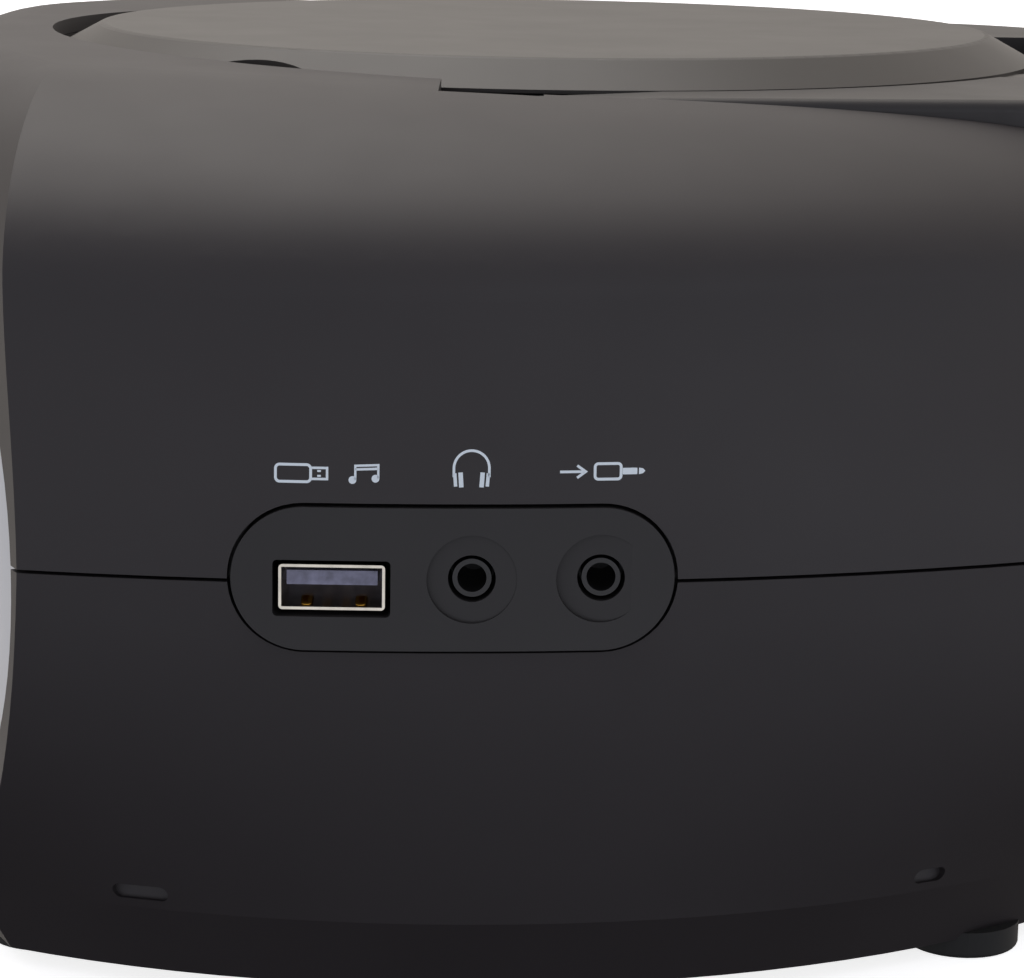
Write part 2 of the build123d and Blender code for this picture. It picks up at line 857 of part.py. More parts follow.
# Lower shell with the skirt
with BuildPart() as housing_bottom:
    add(lower_form.part)
    add(lower_room.part, mode=Mode.SUBTRACT)
    for side in (1, -1):
        for x, y in screw_spots:
            with Locations((side * x, y, 0)):
                Cylinder(screw_access, screw_seat_z, align=up, mode=Mode.SUBTRACT)
                Cylinder(screw_radius + 0.1, post_split_z + 5, align=up, mode=Mode.SUBTRACT)
        for x, y in foot_spots:
            with Locations((side * x, y, foot_height)):
                Cylinder(foot_radius, foot_seat, align=up, mode=Mode.SUBTRACT)
        for y, pry_long in pry_slots:
            with BuildSketch(end_plane(side, low_level(pry_z), y, 3)):
                SlotOverall(pry_long, pry_high)
            extrude(amount=-3 - pry_deep, mode=Mode.SUBTRACT)
    # Openings for the speakers, the fascia and the jack panel
    for side in (1, -1):
        with BuildSketch(facet_plane(side, 6)):
            Circle(speaker_hole)
        extrude(amount=-(6 + speaker_lip_deep), mode=Mode.SUBTRACT)
        with BuildSketch(facet_plane(side)):
            Circle(speaker_lip)
        extrude(amount=-16, mode=Mode.SUBTRACT)
    with BuildSketch(front_plane(-80, 0, fascia_mid_z)):
        RectangleRounded(
            2 * (fascia_half + fit_gap),
            fascia_high_z - fascia_low_z + 2 * fit_gap,
            fascia_corner,
        )
    extrude(amount=40, mode=Mode.SUBTRACT)
    with BuildSketch(side_plane(1, 110, panel_y, panel_z)):
        SlotOverall(panel_wide + 2 * panel_gap, panel_high + 2 * panel_gap)
    extrude(amount=50, mode=Mode.SUBTRACT)
    # Opening of the battery bay, with seats for the door's hinge pins
    opening_low = door_pin_z - wall / 2 - door_gap
    with Locations((0, 100, opening_low)):
        Box(
            2 * (door_half + door_gap),
            30,
            door_high_z + door_gap - opening_low,
            align=up,
            mode=Mode.SUBTRACT,
        )
    with BuildSketch(Plane.YZ.offset(-door_half - door_pin_long)):
        with Locations((door_pin_y, door_pin_z)):
            Circle(door_pin_radius + run_gap)
    extrude(amount=2 * (door_half + door_pin_long), mode=Mode.SUBTRACT)

# Four rubber feet let into the base
with BuildPart() as rubber_feet:
    for side in (1, -1):
        for x, y in foot_spots:
            with Locations((side * x, y, 0)):
                Cylinder(foot_radius, foot_height + foot_seat, align=up)
    fillet(rubber_feet.edges().group_by(Axis.Z)[0], foot_round)

# Four long case screws
with BuildPart() as housing_screws:
    for side in (1, -1):
        for x, y in screw_spots:
            with Locations((side * x, y, screw_seat_z)):
                Cylinder(screw_radius, screw_length, align=up)
                Cylinder(screw_head, 2, align=down)
            with Locations((side * x, y, screw_seat_z - 2)):
                Box(3.2, 0.7, 0.8, align=up, mode=Mode.SUBTRACT)
                Box(0.7, 3.2, 0.8, align=up, mode=Mode.SUBTRACT)

# Lid, a shallow shell with a bevelled rim
with BuildPart() as lid:
    with BuildSketch(Plane(origin=(0, lid_y, 0), x_dir=(1, 0, 0), z_dir=(0, -1, 0))):
        with BuildLine():
            Polyline(
                (0, lid_top_z),
                (lid_top_radius, lid_top_z),
                (lid_radius, lid_base_z + lid_edge),
                (lid_radius, lid_base_z),
                (lid_radius - lid_wall, lid_base_z),
                (lid_top_radius - lid_wall, lid_top_z - lid_wall),
                (0, lid_top_z - lid_wall),
                close=True,
            )
        make_face()
    revolve(axis=spindle_axis)
    fillet(lid.edges().filter_by(GeomType.CIRCLE).group_by(Axis.Z)[-1], lid_rim_round)
    # Finger notch in the rim
    with Locations((notch_spot[0], notch_spot[1], lid_base_z - 2)):
        Cylinder(notch_radius, 12, align=up, mode=Mode.SUBTRACT)
    # Collar that carries the disc clamp
    with BuildSketch(Plane.XY.offset(clamp_lip_z)):
        with Locations(spindle):
            Circle(15)
            Circle(11.2, mode=Mode.SUBTRACT)
    extrude(amount=lid_top_z - 1 - clamp_lip_z)
    with Locations((0, lid_y, clamp_lip_z + 1)):
        Cylinder(13, lid_top_z - lid_wall - clamp_lip_z - 1, align=up, mode=Mode.SUBTRACT)
    # Rest pads and the catch tongue at the front
    for turn in lid_rests:
        rest_x = 74.6 * math.cos(math.radians(turn))
        rest_y = lid_y + 74.6 * math.sin(math.radians(turn))
        with Locations((rest_x, rest_y, seat_z + fit_gap)):
            Cylinder(1.2, 2.6, align=up)
    with Locations((0, lid_y - 75.2, seat_z - 5.4)):
        Box(8, 1.6, 8, align=up)

# Hinge arms under the rim of the lid
with BuildPart() as lid_arms:
    for side in (1, -1):
        with BuildSketch(Plane.YZ.offset(side * lid_arm_x - lid_arm_width / 2)):
            with BuildLine():
                Polyline(
                    (lid_y + 58, lid_top_z - lid_wall),
                    (lid_y + 58, lid_base_z - 0.1),
                    (lid_y + 67.8, lid_base_z - 0.1),
                    (lid_y + 69, seat_z + fit_gap),
                    (lid_pin_y - 8.6, seat_z + fit_gap),
                    (lid_pin_y - 3.2, lid_pin_z),
                    (lid_pin_y + 3.2, lid_pin_z),
                    (lid_pin_y, lid_pin_z + 3.2),
                    (lid_pin_y - 6, lid_base_z),
                    (lid_y + 67.8, lid_base_z),
                    (lid_y + 66.5, lid_base_z + 0.2),
                    (lid_y + 60.5, lid_top_z - lid_wall),
                    close=True,
                )
            make_face()
            with Locations((lid_pin_y, lid_pin_z)):
                Circle(3.2)
        extrude(amount=lid_arm_width)
        with BuildSketch(Plane.YZ.offset(side * lid_arm_x - lid_arm_width)):
            with Locations((lid_pin_y, lid_pin_z)):
                Circle(lid_pin_radius + run_gap)
        extrude(amount=2 * lid_arm_width, mode=Mode.SUBTRACT)
    add(lid.part, mode=Mode.SUBTRACT)

with BuildPart() as lid_hinge_pins:
    for side in (1, -1):
        with BuildSketch(Plane.YZ.offset(side * lid_arm_x - 8)):
            with Locations((lid_pin_y, lid_pin_z)):
                Circle(lid_pin_radius)
        extrude(amount=16)

with BuildPart() as hinge_pins:
    add(handle_pivots.part)
    add(lid_hinge_pins.part)

# Puck in the lid that holds the disc down on the hub
with BuildPart() as lid_disc_clamp:
    with Locations((0, lid_y, clamp_lip_z - 2.1)):
        Cylinder(10.9, 3.1, align=up)
    with Locations((0, lid_y, clamp_lip_z + 1)):
        Cylinder(12.7, 1.2, align=up)

# Dished disc well with the slot for the pickup
with BuildPart() as disc_well:
    with BuildSketch(Plane(origin=(0, lid_y, 0), x_dir=(1, 0, 0), z_dir=(0, -1, 0))):
        with BuildLine():
            Polyline(
                (hub_hole, well_floor_z),
                (well_low_inner, well_floor_z),
                (well_inner, seat_z + well_flange_thick),
                (well_flange, seat_z + well_flange_thick),
                (well_flange, seat_z),
                (well_radius, seat_z),
                (well_radius, well_floor_z - well_floor_thick),
                (hub_hole, well_floor_z - well_floor_thick),
                close=True,
            )
        make_face()
    revolve(axis=spindle_axis)
    with Locations((-(window_near + window_far) / 2, lid_y, well_floor_z - 4)):
        Box(window_far - window_near, 2 * window_half, 8, align=up, mode=Mode.SUBTRACT)
    for x, y in damper_spots:
        with Locations((x, lid_y + y, well_floor_z - well_floor_thick)):
            Cylinder(damper_radius, 7 - damper_height, align=down)
            Cylinder(damper_pin, 9.8, align=down)

# Chassis plate, rod posts and gear axle
with BuildPart() as traverse_chassis:
    with Locations(
        (
            (chassis_x[0] + chassis_x[1]) / 2,
            lid_y + (chassis_y[0] + chassis_y[1]) / 2,
            chassis_top_z,
        )
    ):
        Box(chassis_x[1] - chassis_x[0], chassis_y[1] - chassis_y[0], chassis_thick, align=down)
    for x in rod_post_x:
        for step in (1, -1):
            with Locations((x, lid_y + step * rod_half_y, chassis_top_z)):
                Box(rod_post, 6, rod_z + 2.5 - chassis_top_z, align=up)
    with Locations((gear_x, gear_y, chassis_top_z)):
        Cylinder(2.4, rack_low_z - chassis_top_z - fit_gap, align=up)
        Cylinder(gear_axle_radius, gear_low_z + gear_thick + 0.2 - chassis_top_z, align=up)
    with Locations((-41, lid_y, chassis_top_z + 1)):
        Box(48, 14, 8, align=down, mode=Mode.SUBTRACT)
    with Locations((0, lid_y, chassis_top_z + 1)):
        Cylinder(6, 8, align=down, mode=Mode.SUBTRACT)
    with Locations((motor_x, gear_y, chassis_top_z + 1)):
        Cylinder(2, 8, align=down, mode=Mode.SUBTRACT)
    for x, y in damper_spots:
        with Locations((x, lid_y + y, chassis_top_z + 1)):
            Cylinder(damper_pin + fit_gap, 8, align=down, mode=Mode.SUBTRACT)
    for step in (1, -1):
        with BuildSketch(Plane.YZ.offset(chassis_x[0])):
            with Locations((lid_y + step * rod_half_y, rod_z)):
                Circle(rod_radius)
        extrude(amount=100, mode=Mode.SUBTRACT)

with BuildPart() as mech_dampers:
    for x, y in damper_spots:
        with Locations((x, lid_y + y, chassis_top_z)):
            Cylinder(damper_radius, damper_height, align=up)
            Cylinder(damper_pin, damper_height, align=up, mode=Mode.SUBTRACT)

with BuildPart() as guide_rods:
    for step in (1, -1):
        with BuildSketch(Plane.YZ.offset(rod_post_x[0] - rod_post / 2)):
            with Locations((lid_y + step * rod_half_y, rod_z)):
                Circle(rod_radius)
        extrude(amount=rod_post_x[1] - rod_post_x[0] + rod_post)

with BuildPart() as spindle_motor:
    with Locations((0, lid_y, chassis_top_z - chassis_thick)):
        Cylinder(spindle_motor_radius, spindle_motor_high, align=down)
    fillet(spindle_motor.edges().group_by(Axis.Z)[0], 1)
    with Locations((0, lid_y, chassis_top_z)):
        Cylinder(shaft_radius + run_gap, 8.2, align=down, mode=Mode.SUBTRACT)

# Turntable hub with the centring cone
with BuildPart() as spindle_hub:
    with Locations((0, lid_y, disc_z)):
        Cylinder(hub_radius, hub_thick, align=down)
        Cone(hub_cone_radius, hub_cone_radius - 1.6, hub_cone_high, align=up)
    with Locations((0, lid_y, hub_neck_z)):
        Cylinder(hub_neck, disc_z - hub_neck_z - 1, align=up)
        Cylinder(shaft_radius, 12, align=down)

# Pickup sled with its rack
with BuildPart() as pickup_sled:
    with Locations((-sled_start, lid_y, sled_low_z)):
        Box(sled_long, 2 * sled_half_y, sled_high_z - sled_low_z, align=up)
    fillet(pickup_sled.edges().filter_by(Axis.Z), 1.5)
    with Locations((-sled_start, lid_y, sled_high_z)):
        Cylinder(lens_boss, lens_seat_z - sled_high_z, align=up)
    with Locations((-sled_start, lid_y + (sled_half_y + rack_foot_y) / 2, rack_low_z)):
        Box(sled_long - 4, rack_foot_y - sled_half_y + 1, rack_thick, align=up)
    with BuildSketch(Plane.XY.offset(rack_low_z)):
        with BuildLine():
            Polyline(*rack_points, close=True)
        make_face()
    extrude(amount=rack_thick)
    for step in (1, -1):
        with BuildSketch(Plane.YZ.offset(-sled_start - sled_long)):
            with Locations((lid_y + step * rod_half_y, rod_z)):
                Circle(rod_radius + run_gap)
        extrude(amount=2 * sled_long, mode=Mode.SUBTRACT)

with BuildPart() as pickup_lens:
    with Locations((-sled_start, lid_y, lens_seat_z)):
        Cylinder(lens_radius + 1.4, 1.4, align=up)
        Cylinder(lens_radius, lens_top_z - lens_seat_z, align=up)
    fillet(pickup_lens.edges().group_by(Axis.Z)[-1], 0.6)

# Gears that drive the sled
with BuildPart() as drive_gear:
    with BuildSketch(Plane.XY.offset(rack_low_z)):
        with BuildLine():
            Polyline(*gear_points(pinion_teeth, -90, (gear_x, gear_y)), close=True)
        make_face()
    extrude(amount=gear_low_z - rack_low_z)
    with BuildSketch(Plane.XY.offset(gear_low_z)):
        with BuildLine():
            Polyline(*gear_points(drive_teeth, 0, (gear_x, gear_y)), close=True)
        make_face()
    extrude(amount=gear_thick)
    with Locations((gear_x, gear_y, rack_low_z - 1)):
        Cylinder(gear_axle_radius + run_gap, 10, align=up, mode=Mode.SUBTRACT)

with BuildPart() as sled_pinion:
    with BuildSketch(Plane.XY.offset(gear_low_z)):
        with BuildLine():
            Polyline(*gear_points(motor_teeth, 180 + 180 / motor_teeth, (motor_x, gear_y)), close=True)
        make_face()
    extrude(amount=gear_thick)
    with Locations((motor_x, gear_y, gear_low_z)):
        Cylinder(motor_shaft, 16, align=down)

with BuildPart() as sled_motor:
    with Locations((motor_x, gear_y, chassis_top_z - chassis_thick)):
        Cylinder(motor_radius, motor_long, align=down)
        Cylinder(motor_shaft + run_gap, 10, align=down, mode=Mode.SUBTRACT)

# Speakers: grille, basket with its magnet, and cone, one set to each side
speaker_grilles = {}
baskets = []
cones = []
for side, hand in ((1, "right"), (-1, "left")):
    facet = facet_plane(side)
    axis = Axis(facet.origin, facet.z_dir)
    top_arc = (grille_radius**2 + grille_dome**2) / (2 * grille_dome)
    apex = grille_dome - grille_set
    mid = grille_radius / 2
    mid_drop = top_arc - math.sqrt(top_arc**2 - mid**2)
    with BuildPart() as grille:
        with BuildSketch(facet_section(side)):
            with BuildLine():
                ThreePointArc((0, apex), (mid, apex - mid_drop), (grille_radius, -grille_set))
                Line((grille_radius, -grille_set), (grille_radius, -speaker_lip_deep))
                Line((grille_radius, -speaker_lip_deep), (grille_radius - 1.5, -speaker_lip_deep))
                ThreePointArc(
                    (grille_radius - 1.5, -speaker_lip_deep),
                    (mid, apex - mid_drop - grille_sheet),
                    (0, apex - grille_sheet),
                )
                Line((0, apex - grille_sheet), (0, apex))
            make_face()
        revolve(axis=axis)
        # Rows of slots
        for row in range(-grille_rows, grille_rows + 1):
            height = row * grille_pitch
            length = 2 * math.sqrt((grille_radius - 4) ** 2 - height**2)
            with BuildSketch(facet_plane(side, apex + 2)):
                with Locations((height, 0)):
                    SlotOverall(length, grille_slot, rotation=90)
            extrude(amount=-12, mode=Mode.SUBTRACT)
    with BuildPart() as basket:
        with BuildSketch(facet_section(side)):
            with BuildLine():
                Polyline(
                    (0, -magnet_depth),
                    (magnet_radius, -magnet_depth),
                    (magnet_radius, -18.6),
                    (24.4, -18.6),
                    (basket_radius - 3.4, -5.6),
                    (basket_radius, -5.6),
                    (basket_radius, -speaker_ring_deep),
                    (cone_radius - 0.5, -speaker_ring_deep),
                    (22.6, -17.8),
                    (0, -17.8),
                    close=True,
                )
            make_face()
        revolve(axis=axis)
        # Windows through the basket
        for turn in range(6):
            spoke = math.radians(60 * turn)
            with BuildSketch(facet_plane(side)):
                with Locations((29 * math.cos(spoke), 29 * math.sin(spoke))):
                    SlotOverall(15, 5, rotation=60 * turn + 90)
            extrude(amount=-18.2, mode=Mode.SUBTRACT)
    with BuildPart() as cone:
        with BuildSketch(facet_section(side)):
            with BuildLine():
                Polyline(
                    (0, -11.6),
                    (9, -14.6),
                    (30.6, -4.6),
                    (32.6, -3.3),
                    (speaker_lip - 0.2, -3.3),
                    (speaker_lip - 0.2, -speaker_ring_deep),
                    (33.2, -speaker_ring_deep),
                    (31.0, -5.5),
                    (9.2, -15.6),
                    (0, -12.4),
                    close=True,
                )
            make_face()
        revolve(axis=axis)
    speaker_grilles["speaker_grille_" + hand] = grille
    baskets.append(basket)
    cones.append(cone)

with BuildPart() as speaker_frames:
    for basket in baskets:
        add(basket.part)

with BuildPart() as speaker_cones:
    for cone in cones:
        add(cone.part)

# Control fascia, bowed like the front of the set, with a flange behind the opening
with BuildPart() as bow_outer:
    with Locations((0, front_y + front_radius, 0)):
        Cylinder(front_radius + 0.6, 120, align=up)

with BuildPart() as bow_inner:
    with Locations((0, front_y + front_radius, 0)):
        Cylinder(front_radius - wall - 1.0, 120, align=up)

fascia_high = fascia_high_z - fascia_low_z
with BuildPart() as fascia_flange:
    with BuildSketch(front_plane(flange_back_y, 0, fascia_mid_z)):
        RectangleRounded(2 * fascia_half + 4, fascia_high + 4, fascia_corner + 1.7)
    extrude(amount=20)
    add(bow_inner.part, mode=Mode.INTERSECT)

with BuildPart() as control_fascia:
    with BuildSketch(front_plane(flange_back_y, 0, fascia_mid_z)):
        RectangleRounded(2 * fascia_half, fascia_high, fascia_corner - 0.3)
    extrude(amount=20)
    add(bow_outer.part, mode=Mode.INTERSECT)
    add(fascia_flange.part)
    with BuildSketch(front_plane(flange_back_y, 0, fascia_mid_z)):
        RectangleRounded(2 * fascia_half - 4, fascia_high - 4, fascia_corner - 2)
    extrude(amount=flange_back_y - fascia_back_y, mode=Mode.SUBTRACT)
    # Window, with a step that the clear pane sits in
    with BuildSketch(front_plane(fascia_back_y + 1, 0, window_z)):
        RectangleRounded(window_wide - 3, window_high - 3, 2)
    extrude(amount=12, mode=Mode.SUBTRACT)
    with BuildSketch(front_plane(window_back_y, 0, window_z)):
        RectangleRounded(window_wide, window_high, 3)
    extrude(amount=12, mode=Mode.SUBTRACT)
    # Openings for the keys, the slider and the knob shafts
    for spot in key_spots:
        with BuildSketch(front_plane(fascia_back_y + 1, spot, key_z)):
            RectangleRounded(key_wide + 2 * fit_gap, key_high + 2 * fit_gap, 1.2 + fit_gap)
        extrude(amount=12, mode=Mode.SUBTRACT)
    with BuildSketch(front_plane(fascia_back_y + 1, 0, slider_z)):
        SlotOverall(slider_slot, slider_high + 2 * fit_gap)
    extrude(amount=12, mode=Mode.SUBTRACT)
    for side in (1, -1):
        with BuildSketch(front_plane(fascia_back_y + 1, side * knob_x, knob_z)):
            Circle(knob_shaft + 0.5)
        extrude(amount=12, mode=Mode.SUBTRACT)
        # Posts that the front board is screwed to
        for z in post_heights:
            with BuildSketch(front_plane(fascia_back_y - 0.5, side * post_x, z)):
                Circle(2.5)
            extrude(amount=-(board_y - fascia_back_y + 0.5))

with BuildPart() as display_window:
    with BuildSketch(front_plane(window_back_y, 0, window_z)):
        RectangleRounded(window_wide - 0.2, window_high - 0.2, 2.9)
    extrude(amount=8)
    with Locations((0, front_y + front_radius, 0)):
        Cylinder(front_radius + 0.6, 120, align=up, mode=Mode.INTERSECT)

# Display with its light box
with BuildPart() as display_module:
    with BuildSketch(front_plane(board_y, 0, display_z)):
        Rectangle(display_wide, display_high)
    extrude(amount=board_y - display_front_y)
    with BuildSketch(front_plane(display_front_y, 0, display_z)):
        Rectangle(display_wide - 6, display_high - 4)
    extrude(amount=-0.4, mode=Mode.SUBTRACT)

# Dial plate with the rail that its pointer runs on
with BuildPart() as dial_scale:
    with BuildSketch(front_plane(board_y, 0, dial_z)):
        Rectangle(dial_wide, dial_high)
    extrude(amount=board_y - dial_y)
    with BuildSketch(Plane.YZ.offset(-rail_half)):
        with Locations((rail_y, rail_z)):
            Circle(rail_radius)
    extrude(amount=2 * rail_half)
    for side in (1, -1):
        with Locations((side * (rail_half + 1), rail_y, rail_z - 1.8)):
            Box(2, 4, dial_z - dial_high / 2 - rail_z + 2.8, align=up)
        with Locations((side * (rail_half + 1), (rail_y + board_y) / 2, rail_z - 1.8)):
            Box(2, board_y - rail_y, 3.6, align=up)

with BuildPart() as dial_pointer:
    with Locations((0, rail_y, rail_z)):
        Box(6, 3.4, 3.2)
    with Locations((0, (rail_y + pointer_y) / 2, rail_z)):
        Box(pointer_wide + 0.6, rail_y - pointer_y, 2.4)
    with Locations((0, pointer_y, rail_z - 1.2)):
        Box(pointer_wide, 0.8, dial_z + dial_high / 2 + 0.8 - rail_z + 1.2, align=up)
    with BuildSketch(Plane.YZ.offset(-6)):
        with Locations((rail_y, rail_z)):
            Circle(rail_radius + run_gap)
    extrude(amount=12, mode=Mode.SUBTRACT)

# Fluted knobs with their shafts, and what they turn
knob_parts = {}
for side, use in ((-1, "volume"), (1, "tuning")):
    with BuildPart() as knob:
        with BuildSketch(front_plane(knob_back_y, side * knob_x, knob_z)):
            Circle(knob_radius)
        extrude(amount=knob_back_y - knob_front_y)
        fillet(knob.edges().group_by(Axis.Y)[0], 0.8)
        with BuildSketch(front_plane(knob_back_y, side * knob_x, knob_z)):
            with PolarLocations(knob_radius + 0.25, knob_flutes):
                Circle(0.9)
        extrude(amount=knob_back_y - knob_front_y - 1.2, mode=Mode.SUBTRACT)
        with Locations((side * knob_x, knob_front_y, knob_z + knob_radius - 3.4)):
            Box(0.8, 1.0, 4.4, mode=Mode.SUBTRACT)
        with BuildSketch(front_plane(knob_back_y - 1, side * knob_x, knob_z)):
            Circle(knob_shaft)
        extrude(amount=-(pot_front_y + 5 - knob_back_y + 1))
    with BuildPart() as pot:
        with BuildSketch(front_plane(board_y, side * knob_x, knob_z)):
            RectangleRounded(pot_size, pot_size, 1.2)
            Circle(knob_shaft + run_gap, mode=Mode.SUBTRACT)
        extrude(amount=board_y - pot_front_y)
    knob_parts[use + "_knob"] = knob
    knob_parts["volume_pot" if use == "volume" else "tuning_capacitor"] = pot

# Function slider and the keys
with BuildPart() as function_slider:
    with BuildSketch(front_plane(slide_front_y, 0, slider_z)):
        Rectangle(2 * slide_plate, 8)
    extrude(amount=-1.0)
    with BuildSketch(front_plane(slide_front_y, 0, slider_z)):
        RectangleRounded(slider_wide, slider_high, 1)
    extrude(amount=slide_front_y - slider_face_y)
    with BuildSketch(front_plane(slide_front_y + 1, 0, slider_z)):
        Rectangle(3, 3)
    extrude(amount=-4.4)
    for step in (-1, 0, 1):
        with Locations((step * 1.5, slider_face_y, slider_z)):
            Box(0.6, 0.8, slider_high, mode=Mode.SUBTRACT)

key_parts = {}
for name, spot in zip(key_names, key_spots):
    with BuildPart() as key:
        with BuildSketch(front_plane(key_back_y, spot, key_z)):
            RectangleRounded(key_wide, key_high, 1.2)
        extrude(amount=key_back_y - fascia_front_y + key_proud)
        fillet(key.edges().group_by(Axis.Y)[0], 0.5)
        with BuildSketch(front_plane(key_back_y, spot, key_z)):
            Rectangle(key_wide + 1.8, key_high + 1.8)
        extrude(amount=-1)
        with BuildSketch(front_plane(key_back_y + 1, spot, key_z)):
            Rectangle(3, 3)
        extrude(amount=-(switch_front_y - key_travel - fit_gap - key_back_y - 1))
    key_parts["key_" + name] = key

# Switches behind the keys and the slider
with BuildPart() as panel_switches:
    with BuildSketch(front_plane(board_y, 0, slider_z)):
        Rectangle(22, 7)
    extrude(amount=board_y - slide_front_y - 2.4)
    with BuildSketch(front_plane(board_y - 8, 0, slider_z)):
        Rectangle(2 * slider_travel + 4, 3.8)
    extrude(amount=-6, mode=Mode.SUBTRACT)
    for spot in key_spots:
        with BuildSketch(front_plane(board_y, spot, key_z)):
            Rectangle(6, 6)
        extrude(amount=board_y - switch_front_y - 0.7)
        with BuildSketch(front_plane(board_y, spot, key_z)):
            Circle(1.6)
        extrude(amount=board_y - switch_front_y)

with BuildPart() as front_board:
    with Locations((0, board_y + board_thick / 2, (board_low_z + board_high_z) / 2)):
        Box(2 * board_half, board_thick, board_high_z - board_low_z)

# Jack panel, rounded like the end of the set
with BuildPart() as end_outer:
    with Locations((half_width - side_radius, side_apex_y, 0)):
        Cylinder(side_radius + 0.15, 120, align=up)

with BuildPart() as end_inner:
    with Locations((half_width - side_radius, side_apex_y, 0)):
        Cylinder(side_radius - wall - 1.5, 120, align=up)

with BuildPart() as panel_flange:
    with BuildSketch(side_plane(1, panel_back_x, panel_y, panel_z)):
        SlotOverall(panel_wide + 3, panel_high + 3)
    extrude(amount=12)
    add(end_inner.part, mode=Mode.INTERSECT)

with BuildPart() as jack_panel:
    with BuildSketch(side_plane(1, panel_back_x, panel_y, panel_z)):
        SlotOverall(panel_wide, panel_high)
    extrude(amount=12)
    add(end_outer.part, mode=Mode.INTERSECT)
    add(panel_flange.part)
    with BuildSketch(side_plane(1, panel_back_x, usb_y, usb_z)):
        RectangleRounded(usb_wide + 2 * usb_frame, usb_high + 2 * usb_frame, 0.6)
    extrude(amount=12, mode=Mode.SUBTRACT)
    for name, y in jack_spots:
        with BuildSketch(side_plane(1, panel_back_x, y, jack_z)):
            Circle(jack_hole)
        extrude(amount=12, mode=Mode.SUBTRACT)
        with BuildSketch(side_plane(1, end_x_at(y) - jack_dish_deep, y, jack_z)):
            Circle(jack_dish)
        extrude(amount=6, mode=Mode.SUBTRACT)
    for y in panel_posts:
        with BuildSketch(side_plane(1, panel_back_x + 1, y, panel_z)):
            Circle(1.6)
        extrude(amount=-(panel_back_x + 1 - jack_board_x))

with BuildPart() as usb_socket_shell:
    mouth_x = end_x_at(usb_y) - usb_set
    with BuildSketch(side_plane(1, mouth_x, usb_y, usb_z)):
        RectangleRounded(usb_wide, usb_high, 0.5)
        Rectangle(usb_wide - 2 * usb_sheet, usb_high - 2 * usb_sheet, mode=Mode.SUBTRACT)
    extrude(amount=-(mouth_x - jack_board_x))

# Moulded tongue of the socket with four contacts
with BuildPart() as usb_tongue:
    with BuildSketch(side_plane(1, jack_board_x, usb_y, usb_z)):
        Rectangle(usb_wide - 2 * usb_sheet, usb_high - 2 * usb_sheet)
    extrude(amount=2)
    with BuildSketch(side_plane(1, jack_board_x, usb_y, usb_z + 1.0)):
        Rectangle(11.2, 1.8)
    extrude(amount=mouth_x - 1 - jack_board_x)

with BuildPart() as usb_contacts:
    for step in (-1.5, -0.5, 0.5, 1.5):
        with BuildSketch(side_plane(1, jack_board_x + 2, usb_y + step * 2.4, usb_z)):
            Rectangle(1.1, 0.2)
        extrude(amount=mouth_x - 2.5 - jack_board_x - 2)

jack_parts = {}
for name, y in jack_spots:
    with BuildPart() as jack:
        with BuildSketch(side_plane(1, jack_board_x, y, jack_z)):
            Rectangle(jack_body, jack_body)
        extrude(amount=panel_back_x - 0.3 - jack_board_x)
        with BuildSketch(side_plane(1, jack_board_x, y, jack_z)):
            Circle(jack_barrel)
        extrude(amount=end_x_at(y) - 0.9 - jack_board_x)
        with BuildSketch(side_plane(1, end_x_at(y) + 1, y, jack_z)):
            Circle(jack_bore)
        extrude(amount=-jack_deep, mode=Mode.SUBTRACT)
    jack_parts[name] = jack

with BuildPart() as jack_board:
    with Locations((jack_board_x - board_thick / 2, panel_y, panel_z)):
        Box(board_thick, panel_wide - 4, panel_high - 1)

# Telescopic aerial behind the rear wall
aerial_y = rear_y + aerial_gap + aerial_radii[0]
with BuildPart() as antenna_base:
    with BuildSketch(rear_plane(rear_y + aerial_gap, aerial_x, aerial_z)):
        Circle(5)
    extrude(amount=2 * aerial_radii[0])
    with BuildSketch(rear_plane(rear_y + aerial_gap, aerial_x, aerial_z)):
        Circle(3)
    extrude(amount=-7)
    with Locations((aerial_x, aerial_y + 2.5, aerial_z)):
        Box(12, 10, 3.4, mode=Mode.SUBTRACT)
    with Locations((aerial_x, aerial_y, aerial_z)):
        Cylinder(1, 8)

tip_x = aerial_x - aerial_length
with BuildPart() as antenna_outer_tube:
    with BuildSketch(Plane.YZ.offset(tip_x + 2 * aerial_step)):
        with Locations((aerial_y, aerial_z)):
            Circle(aerial_radii[0])
    extrude(amount=aerial_x - 6 - tip_x - 2 * aerial_step)
    with Locations((aerial_x - 4, aerial_y, aerial_z)):
        Box(8, 4.4, 2.8)
    with Locations((aerial_x, aerial_y, aerial_z)):
        Cylinder(2.2, 2.8)
        Cylinder(1 + run_gap, 10, mode=Mode.SUBTRACT)
    with BuildSketch(Plane.YZ.offset(tip_x)):
        with Locations((aerial_y, aerial_z)):
            Circle(aerial_radii[1] + run_gap)
    extrude(amount=aerial_x - 9 - tip_x, mode=Mode.SUBTRACT)

with BuildPart() as antenna_middle_tube:
    with BuildSketch(Plane.YZ.offset(tip_x + aerial_step)):
        with Locations((aerial_y, aerial_z)):
            Circle(aerial_radii[1])
            Circle(aerial_radii[2] + run_gap, mode=Mode.SUBTRACT)
    extrude(amount=aerial_x - 10 - tip_x - aerial_step)

with BuildPart() as antenna_inner_tube:
    with BuildSketch(Plane.YZ.offset(tip_x)):
        with Locations((aerial_y, aerial_z)):
            Circle(aerial_radii[2])
    extrude(amount=aerial_x - 11 - tip_x)
    with BuildSketch(Plane.YZ.offset(tip_x)):
        with Locations((aerial_y, aerial_z)):
            Circle(aerial_tip_radius)
    extrude(amount=4)
    fillet(antenna_inner_tube.edges().group_by(Axis.X)[0], 1)

